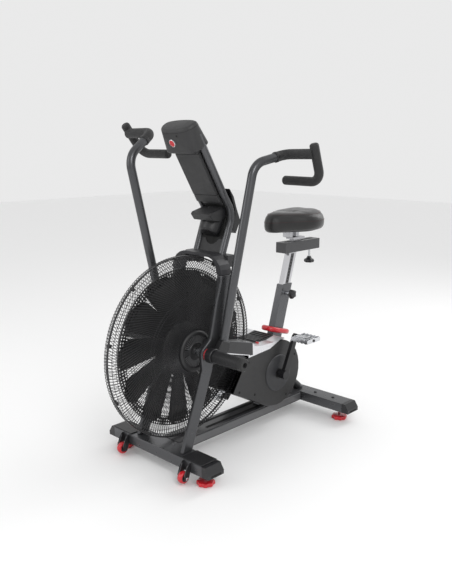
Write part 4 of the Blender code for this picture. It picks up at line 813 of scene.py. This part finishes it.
def make_screen():
    """A raised bezel round the smoked window on the rider's side."""
    low, high, half = HEAD_LOW + 0.020, HEAD_HIGH - 0.020, 0.060
    outer = [(-half, low), (half, low), (half, high), (-half, high)]
    inner = [(-half + 0.006, low + 0.006), (half - 0.006, low + 0.006), (half - 0.006, high - 0.006),
             (-half + 0.006, high - 0.006)]
    rings = [[on_console(y, a, out) for y, a in ring]
             for ring, out in ((outer, 0.0250), (outer, 0.0315), (inner, 0.0300), (inner, 0.0250))]
    piece("screen_bezel", lofted(rings, loop=True), "black_moulding", edge=0.001)


def make_rear_housing():
    """The dark moulding between and behind the mast tubes, with its pointed rear edge."""
    front = [(-0.146, 1.052), (-0.170, 1.018), (-0.196, 0.966), (-0.178, 0.898), (-0.160, 0.832)]
    rear = [(-0.176, 0.826), (-0.206, 0.880), (-0.214, 0.930), (-0.222, 0.985), (-0.200, 1.034),
            (-0.165, 1.090)]
    between = MAST_Y - MAST_RADIUS - 0.0006
    # painted shade: the back panel is nearer black than the rear fin's moulding, darkened as it sits deep
    # between the tubes
    core = slab(front + rear, -between, between)
    piece("mast_back_panel", core, "void_black", edge=0.002)
    fin = [(-0.190, 1.062), (-0.214, 1.030), (-0.2300, 0.985), (-0.2520, 0.934), (-0.2250, 0.885),
           (-0.2060, 0.905),
           (-0.2200, 0.960), (-0.2180, 0.985), (-0.2040, 1.020)]
    shell = slab(fin, -MAST_Y - 0.006, MAST_Y + 0.006)
    piece("mast_rear_fin", shell, "black_moulding", edge=0.003)


def make_caddy():
    bottom = Vector((-0.150, 0, 0.886))
    axis = Vector((-0.55, 0, 0.835)).normalized()
    side = Vector((0, 1, 0))
    up = axis.cross(side)
    profile = [(0.030, 0.0), (0.036, 0.0), (0.0415, 0.004), (0.0440, 0.010), (0.0458, 0.094),
               (0.0450, 0.097),
               (0.0412, 0.098), (0.0402, 0.094), (0.0384, 0.010), (0.034, 0.006), (0.010, 0.006)]
    rings = [circle(bottom + axis * along, side, up, radius, 56) for radius, along in profile]
    piece("bottle_cup", lofted(rings), "black_moulding", stands_for=("caddy",))
    wedge = [(-0.190, 0.992), (-0.112, 0.972), (-0.104, 0.963), (-0.122, 0.940), (-0.166, 0.934),
             (-0.198, 0.958)]
    for name, sign in SIDES:
        cheek = slab(wedge, sign * 0.0455, sign * 0.0540)
        piece(f"tray_cheek_{name}", cheek, "black_moulding", edge=0.003)
    lid = [(-0.187, 0.9905), (-0.117, 0.9728), (-0.104, 0.963), (-0.122, 0.940), (-0.150, 0.937),
           (-0.180, 0.955)]
    front = slab(lid, -0.050, 0.050)
    piece("tray_front", front, "console_plastic", edge=0.003)


# ---- stabilizers, feet, wheels ------------------------------------------------------------
def make_foot(name, x, y):
    rings = []
    for scale, z in ((0.86, 0.0), (0.90, 0.0006), (0.985, 0.003), (1.0, 0.005), (1.0, 0.0125),
                     (0.97, 0.0155),
                     (0.88, 0.0172), (0.40, 0.0180)):
        ring = []
        for t in turns(96):
            radius = 0.0350 - 0.0026 + 0.0026 * math.cos(8 * t)
            ring.append(Vector((x + radius * scale * math.cos(t), y + radius * scale * math.sin(t), z)))
        rings.append(ring)
    end, _, side = name.split("_")
    body = f"foot_{end}_{side}"
    piece(f"{name}_disc", lofted(rings), "red_plastic", body, stands_for=(name,))
    stud = disc([(0.0046, 0.0176), (0.0050, 0.0182), (0.0050, BAR_LOW + 0.012)], (x, y), 24, "Z")
    piece(f"{name}_stud", stud, "bright_steel", body)
    nut = disc([(0.0100, 0.040), (0.0104, 0.0405), (0.0104, 0.0475), (0.0100, 0.0478)], (x, y), 6, "Z")
    piece(f"{name}_nut", nut, "bright_steel", body, sharp=30)


def make_wheel(name, side):
    x, z = FRONT_BAR_X + 0.060, BAR_LOW - 0.018
    mid = side * WHEEL_Y
    tyre = [(0.0150, mid - 0.0105)]
    for k in range(9):
        t = math.pi * k / 8
        tyre.append((0.0195 + 0.0040 * math.sin(t), mid - 0.0105 * math.cos(t)))
    tyre.append((0.0150, mid + 0.0105))
    piece(f"wheel_tread_{name}", turned(tyre, 56, (x, z)), "red_plastic", f"wheel_{name}",
          stands_for=(f"transport_wheel_{name}",), sharp=50)
    hub = [(0.0047, mid - 0.0100), (0.0148, mid - 0.0085), (0.0148, mid + 0.0085), (0.0047, mid + 0.0100)]
    piece(f"wheel_hub_{name}", turned(hub, 40, (x, z)), "black_moulding", f"wheel_{name}")
    front = FRONT_BAR_X + 0.040
    ear = [(front - 0.001, BAR_LOW + 0.008), (front - 0.001, BAR_LOW + 0.0385),
           (front + 0.006, BAR_LOW + 0.0385),
           (front + 0.020, BAR_LOW + 0.022), (front + 0.031, BAR_LOW - 0.008),
           (front + 0.0272, BAR_LOW - 0.0275),
           (front + 0.012, BAR_LOW - 0.0275)]
    for end in (-1, 1):
        at = mid + end * 0.0155
        cover = slab(ear, at + end * 0.0021, at + end * 0.0046)
        piece(f"wheel_ear_{name}_{'in' if end * side < 0 else 'out'}", cover,
                      "black_moulding", edge=0.001)
    bolt = disc([(0.0062, mid + side * 0.0200), (0.0062, mid + side * 0.0226),
                 (0.0052, mid + side * 0.0236)],
                (x, z), 24)
    piece(f"wheel_bolt_{name}", bolt, "bright_steel")


def make_base():
    for name, side in SIDES:
        top = block((FRONT_BAR_X - 0.0405, FRONT_BAR_X + 0.0395), reach(side, 0.150, 0.2575),
                    (BAR_HIGH + 0.0002, BAR_HIGH + 0.0040))
        piece(f"front_step_pad_{name}", top, "black_moulding", edge=0.0018)
        for end, x, half in (("front", FRONT_BAR_X, 0.258), ("rear", REAR_BAR_X, 0.275)):
            y0 = side * (half + 0.0352)
            slot = block((x - 0.024, x + 0.024), sorted((y0 - side * 0.0020, y0 + side * 0.0006)),
                         (BAR_LOW + 0.0035, BAR_LOW + 0.0105))
            # painted shade: each slot is a near-black block
            piece(f"{end}_cap_slot_{name}", slot, "void_black")
        # painted highlight: a thin light grey strip along the side of the beam
        rail = block((-0.700, 0.066), reach(side, 0.0452, 0.0486), (0.056, 0.086))
        piece(f"beam_highlight_{name}", rail, "light_edge", edge=0.0014)
    for name, side in SIDES:
        groove = block((-0.660, -0.105), reach(side, 0.016, 0.030), (0.0912, 0.0926))
        # painted shade: each groove is a thin near-black strip on the beam
        piece(f"beam_groove_{name}", groove, "void_black")
    head = [(0.0070, BAR_HIGH - 0.001), (0.0070, BAR_HIGH + 0.0022), (0.0055, BAR_HIGH + 0.0034)]
    screws = [disc(head, (REAR_BAR_X, y), 28, "Z") for y in (-0.20, -0.10, 0.10, 0.20)]
    piece("rear_bar_screws", screws, "black_moulding")
    foot, head = Vector((REAR_BAR_X - 0.004, 0, 0.088)), Vector((-0.5547, 0, 0.245))
    sleeve = tube([foot.lerp(head, 0.10), foot.lerp(head, 0.5), foot.lerp(head, 0.94)], 0.0199, 36)
    piece("rear_strut_sleeve", sleeve, "black_moulding")


# ---- seat ---------------------------------------------------------------------------------
def saddle_outline(scale_x, scale_y, count=84):
    """(x, y, how far along from the middle to the end) round the saddle, nose forward."""
    made = []
    half = SADDLE_LENGTH / 2
    for t in turns(count):
        c, s = math.cos(t), math.sin(t)
        x = half * math.copysign(abs(c) ** 0.88, c)
        narrow = 0.5 + 0.5 * math.tanh((0.034 - x) / 0.062)
        width = SADDLE_WIDTH / 2 * (0.47 + 0.53 * narrow)
        y = width * math.copysign(abs(s) ** 0.84, s)
        made.append((SADDLE_X + x * scale_x, y * scale_y, x / half))
    return made


SADDLE_LEVELS = [(0.60, 0.52, 0.860, 0.002), (0.84, 0.80, 0.857, 0.000), (0.945, 0.925, 0.862, 0.000),
                 (0.985, 0.98, 0.872, 0.001), (1.0, 1.0, 0.886, 0.002), (0.995, 0.99, 0.902, 0.003),
                 (0.965, 0.95, 0.917, 0.005), (0.90, 0.87, 0.9285, 0.007), (0.78, 0.73, 0.9355, 0.009),
                 (0.58, 0.50, 0.9378, 0.010), (0.32, 0.24, 0.9375, 0.009), (0.08, 0.06, 0.9365, 0.008)]


def saddle_height(x, y, z, tilt, along):
    """Raises the back and the nose a little and presses a shallow channel along the middle."""
    rise = tilt * along * along - 0.006 * max(0.0, along) ** 2
    channel = 0.0
    if z > 0.93:
        channel = 0.0045 * math.exp(-(y / 0.016) ** 2) * math.exp(-((x - SADDLE_X + 0.02) / 0.085) ** 2)
    cheeks = 0.004 * math.exp(-((abs(y) - 0.062) / 0.030) ** 2) if z > 0.93 and along < 0 else 0.0
    return z + rise - channel + cheeks


def make_saddle():
    rings = []
    for scale_x, scale_y, z, tilt in SADDLE_LEVELS:
        rings.append([Vector((x, y, saddle_height(x, y, z, tilt, along)))
                      for x, y, along in saddle_outline(scale_x, scale_y)])
    pad = piece("saddle_pad", lofted(rings), "saddle_cover", "seat_slider", stands_for=("saddle",),
                sharp=80)
    smooth = pad.modifiers.new("smooth", "SUBSURF")
    smooth.levels = 1
    smooth.render_levels = 1
    pan = [[Vector((x, y, z)) for x, y, _ in saddle_outline(sx, sy, 60)]
           for sx, sy, z in ((0.50, 0.44, 0.8524), (0.70, 0.66, 0.8524), (0.78, 0.74, 0.8550),
                             (0.80, 0.76, 0.8620))]
    piece("saddle_pan", lofted(pan), "black_moulding", "seat_slider")
    for end, x in (("front", SADDLE_X + 0.020), ("rear", SADDLE_X - 0.026)):
        clamp = block((x - 0.012, x + 0.012), (-0.020, 0.020), (0.8232, 0.8535))
        piece(f"saddle_clamp_{end}", clamp, "carriage_steel", "seat_slider", edge=0.003)
    stitches("saddle_seam_low", 0.9925, 0.990, 0.9005, 0.003)
    stitches("saddle_seam_top", 0.885, 0.850, 0.9300, 0.0075)


def stitches(name, scale_x, scale_y, z, tilt):
    """A row of short sewn stitches that runs round the saddle."""
    line = [Vector((x, y, saddle_height(x, y, z, tilt, along) + 0.0002))
            for x, y, along in saddle_outline(scale_x * 1.004, scale_y * 1.004, 240)]
    parts = []
    for i in range(0, 240, 2):
        parts.append(tube([line[i], line[i].lerp(line[(i + 1) % 240], 0.5), line[(i + 1) % 240]], 0.0007,
                          6))
    piece(name, parts, "thread_red", "seat_slider", sharp=80)


def post_x(z):
    """Where the middle of the seat tube and post is at a height."""
    return -0.628 + TUBE_LEAN * (0.616 - z)


def make_collar():
    z = 0.4125
    centre = Vector((post_x(z), 0, z))

    def ring(grow, depth, inside=False):
        made = []
        for t in turns(96):
            c, s = math.cos(t), math.sin(t)
            if inside:
                a = 0.0325 * math.copysign(min(1.0, abs(c) * 1.35), c)
                b = 0.0183 * math.copysign(min(1.0, abs(s) * 1.35), s)
            else:
                a = (0.076 + grow) * math.copysign(abs(c) ** 0.80, c)
                b = (0.044 + grow) * math.copysign(abs(s) ** 0.80, s)
            made.append(centre + LEAN * depth + AHEAD * a + Vector((0, b, 0)))
        return made

    rings = [ring(0, -0.0105, True), ring(-0.006, -0.0110), ring(-0.002, -0.0085), ring(0.0, -0.003),
             ring(0.0, 0.004), ring(-0.002, 0.0085), ring(-0.006, 0.0110), ring(0, 0.0105, True)]
    piece("collar_ring", lofted(rings, loop=True), "red_plastic", stands_for=("seat_collar",), sharp=50)


def lobed(centre, levels, lobes, depth, count=72, axis="Z"):
    """A hand knob: rings of (radius, along) with a lobed edge."""
    rings = []
    for radius, along, share in levels:
        dips = [depth * share * (0.5 - 0.5 * math.cos(lobes * t)) for t in turns(count)]
        rings.append([spun(centre, radius * (1 - dip), along, t, axis) for dip,
                      t in zip(dips, turns(count))])
    return lofted(rings)


def make_knobs():
    x = -0.806
    levels = [(0.016, 0.6905, 1), (0.021, 0.6915, 1), (0.0236, 0.6955, 1), (0.0238, 0.7005, 1),
              (0.0215, 0.7055, 1),
              (0.014, 0.7095, 0.6), (0.0095, 0.7150, 0.1), (0.0080, 0.7200, 0)]
    piece("clamp_knob_head", lobed((x, 0), levels, 6, 0.16), "black_moulding", "clamp_knob",
          stands_for=("slider_knob",))
    screw = disc([(0.0049, 0.7195), (0.0049, 0.7740)], (x, 0), 24, "Z")
    piece("clamp_knob_screw", screw, "bright_steel", "clamp_knob")
    low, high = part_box("pop_pin")
    centre = ((low.x + high.x) / 2 - AXLE_X, (low.z + high.z) / 2)
    face = 0.0174
    neck = disc([(0.0045, low.y), (0.0045, face), (0.0090, face + 0.0002), (0.0090, face + 0.026)], centre,
                32)
    piece("height_pin_neck", neck, "bright_steel", "height_pin", stands_for=("pop_pin",))
    levels = [(0.012, face + 0.0255, 0), (0.0195, face + 0.0285, 1), (0.0218, face + 0.032, 1),
              (0.0219, face + 0.040, 1), (0.0195, face + 0.0455, 1), (0.0140, face + 0.0478, 0.6)]
    piece("height_pin_knob", lobed(centre, levels, 5, 0.22, 80, "Y"), "black_moulding", "height_pin")


def make_post_marks():
    """The row of adjustment holes down both flat sides of the post."""
    for name, side in SIDES:
        strip = [(post_x(z) + w, z) for w, z in ((-0.011, 0.618), (0.011, 0.618), (0.011, 0.750),
                                                 (-0.011, 0.750))]
        band = slab(strip, *reach(side, 0.0120, 0.01265))
        piece(f"post_strip_{name}", band, "rail_paint", "seat_height")
        dots = []
        for i in range(9):
            z = 0.6270 + 0.0135 * i
            centre = Vector((post_x(z), side * 0.01262, z))
            dots.append(lofted([circle(centre + Vector((0, side * rise, 0)), AHEAD, LEAN, 0.0042, 20)
                                for rise in (0.0, 0.00022)]))
        # painted shade: each hole is a flat near-black disc just proud of the strip
        piece(f"post_holes_{name}", dots, "void_black", "seat_height")


# ---- drive covers -------------------------------------------------------------------------
def make_covers():
    for name, side in SIDES:
        dish = [(radius, side * (SHROUD_Y + rise)) for radius, rise in (
            (0.0245, 0.0082), (0.060, 0.0072), (0.0785, 0.0050), (0.0815, 0.0006), (0.0245, 0.0006))]
        piece(f"crank_dish_{name}", turned(dish, 96, CRANK), "cover_grey")
        line = [(-0.062, 0.4485), (-0.2440, 0.3965), (-0.2450, 0.3935), (-0.0560, 0.4455)]
        edge = side * (FORK_OUT - 0.0020)
        strip = slab(line, edge + side * 0.0002, edge + side * 0.0016)
        piece(f"beam_line_{name}", strip, "silver_trim")
        cap = [(-0.2620, 0.4445), (-0.2725, 0.4330), (-0.2725, 0.3885), (-0.2640, 0.3905)]
        ends = sorted((side * 0.0795, edge + side * 0.0008))
        piece(f"beam_end_{name}", slab(cap, *ends), "silver_trim", edge=0.0015)
        rail = [(-0.0880, 0.4915), (-0.2610, 0.4448), (-0.2615, 0.4415), (-0.0875, 0.4880)]
        top = slab(rail, *sorted((side * 0.0800, edge + side * 0.0004)))
        # painted highlight: a thin light grey strip along the top edge of the side beam
        piece(f"beam_top_{name}", top, "light_edge", edge=0.0008)
        make_shroud_screws(name, side)
    make_vent()


def make_pedal(name, side):
    """A cage pedal: two toothed plates, two end plates and a barrel with cross webs."""
    x = CRANK[0] + side * CRANK_LENGTH * math.cos(CRANK_TURN)
    z = CRANK[1] + side * CRANK_LENGTH * math.sin(CRANK_TURN)
    near, far, teeth = 0.1545, 0.2415, 9
    parts = []
    for end in (-1, 1):
        tips = [near + (far - near) * k / teeth for k in range(teeth + 1)]
        lows = [(y, -0.0062 if k % 2 else -0.0098) for k, y in enumerate(tips)]
        edge = lows + [(y, -w) for y, w in reversed(lows)]
        rings = [[Vector((x + end * u, side * y, z + w)) for y, w in edge] for u in (0.0425, 0.0455)]
        parts.append(lofted(rings))
        outside = near if end < 0 else far
        plate = reach(side, outside, outside - end * 0.003)
        parts.append(block((x - 0.0426, x + 0.0426), plate, (z - 0.0085, z + 0.0085)))
    for k in range(3):
        y = near + (far - near) * (k + 1) / 4
        webs = reach(side, y - 0.0018, y + 0.0018)
        for span in ((x + 0.012, x + 0.0428), (x - 0.0428, x - 0.012)):
            parts.append(block(span, webs, (z - 0.0070, z + 0.0070)))
    cage = piece(f"pedal_cage_{name}", parts, "pedal_metal", f"pedal_{name}",
                 stands_for=(f"pedal_{name}",))
    rounded(cage, 0.0006, 2)
    start, end = near + 0.0005, far - 0.0005
    barrel = sided([(0.0062, start), (0.0120, start), (0.0132, start + 0.004), (0.0132, end - 0.010),
                    (0.0105, end), (0.0062, end)], side)
    piece(f"pedal_barrel_{name}", turned(barrel, 40, (x, z)), "pedal_metal", f"pedal_{name}")


def make_shroud_screws(name, side):
    head = sided([(0.0052, SHROUD_Y - 0.0005), (0.0052, SHROUD_Y + 0.0008), (0.0040, SHROUD_Y + 0.0016)],
                 side)
    places = ((0.150, -0.060), (0.245, -0.025), (0.190, 0.090), (-0.115, 0.060), (-0.060, -0.115))
    screws = [disc(head, (CRANK[0] + dx, CRANK[1] + dz), 24) for dx, dz in places]
    piece(f"shroud_screws_{name}", screws, "void_black")


def make_vent():
    """The black ribbed vent let into the bright trim ahead of the collar, with two red accents."""
    half = 0.056
    surface_line = ((-0.366, 0.4042), (-0.434, 0.4026), (-0.486, 0.4122))
    lower = [(x, z - 0.0006) for x, z in surface_line]
    upper = [(x, z + 0.0024) for x, z in reversed(surface_line)]
    piece("vent_panel", slab(lower + upper, -half, half), "black_moulding", edge=0.0008)
    ribs = []
    (x0, z0), (x1, z1), (x2, z2) = surface_line
    for k in range(8):
        x = x0 - 0.010 - 0.0145 * k
        z = z0 + (z1 - z0) * (x - x0) / (x1 - x0) if x > x1 else z1 + (z2 - z1) * (x - x1) / (x2 - x1)
        ribs.append(block((x - 0.0075, x), (-half + 0.006, half - 0.006), (z + 0.0010, z + 0.0058)))
    piece("vent_ribs", ribs, "beam_cover", edge=0.0012)
    for name, side in SIDES:
        accent = block((x0 - 0.010, x0 - 0.001), reach(side, half + 0.001, half + 0.014),
                       (z0 - 0.001, z0 + 0.0042))
        piece(f"vent_accent_{name}", accent, "red_plastic", edge=0.0008)


# ---- CAD nodes that stay ------------------------------------------------------------------
KEPT = (  # the look, the width of the rounded edges, and the nodes
    ("rail_paint", 0.0030, "base_beam"),
    ("rail_paint", 0.0025, "slider_rail"),
    ("frame_grey", 0.0035, "front_stabilizer rear_stabilizer"),
    ("frame_grey", 0.0040, "seat_tube"),
    ("arch_paint", 0.0030, "top_arch"),
    ("arch_paint", 0.0025, "crown"),
    ("black_moulding", 0.0008, "mast_web"),
    ("black_moulding", 0.0035, "front_end_cap_left front_end_cap_right rear_end_cap_left rear_end_cap_right"),
    ("screen", 0.0008, "display"),
    ("button_plastic", 0.0008, "console_button_1 console_button_2 console_button_3"),
    ("bright_steel", 0.0008, "fan_axle"),
    ("bright_steel", 0.0, "crank_shaft"),
    ("rod_steel", 0.0012, "connecting_rod_left connecting_rod_right"),
    ("belt_rubber", 0.0, "drive_belt"),
    ("shroud_plastic", 0.0035, "shroud_left shroud_right"),
    ("beam_cover", 0.0025, "side_beam_left side_beam_right"),
    ("silver_trim", 0.0040, "top_trim"),
    ("crank_steel", 0.0030, "crank_left crank_right"),
    ("chrome_post", 0.0022, "seat_post"),
    ("carriage_steel", 0.0012, "seat_carriage"),
)


def dress_nodes():
    for look, width, names in KEPT:
        for name in names.split():
            cad(name, look, width)


make_camera()
make_studio()
LOOKS = make_looks()
make_guards()
make_rotor()
make_hub_cap()
for side_word, side_sign in SIDES:
    make_arm(side_word, side_sign)
    make_grip(side_word, side_sign)
    make_peg(side_word, side_sign)
    make_pivot_ring(side_word, side_sign)
    make_wheel(side_word, side_sign)
    make_fork(side_word, side_sign)
    make_pedal(side_word, side_sign)
    make_foot(f"front_foot_{side_word}", FRONT_BAR_X, side_sign * FOOT_Y)
    make_foot(f"rear_foot_{side_word}", REAR_BAR_X, side_sign * FOOT_Y)
make_mast()
make_console()
make_rear_housing()
make_caddy()
make_base()
make_saddle()
make_collar()
make_knobs()
make_post_marks()
make_covers()
dress_nodes()
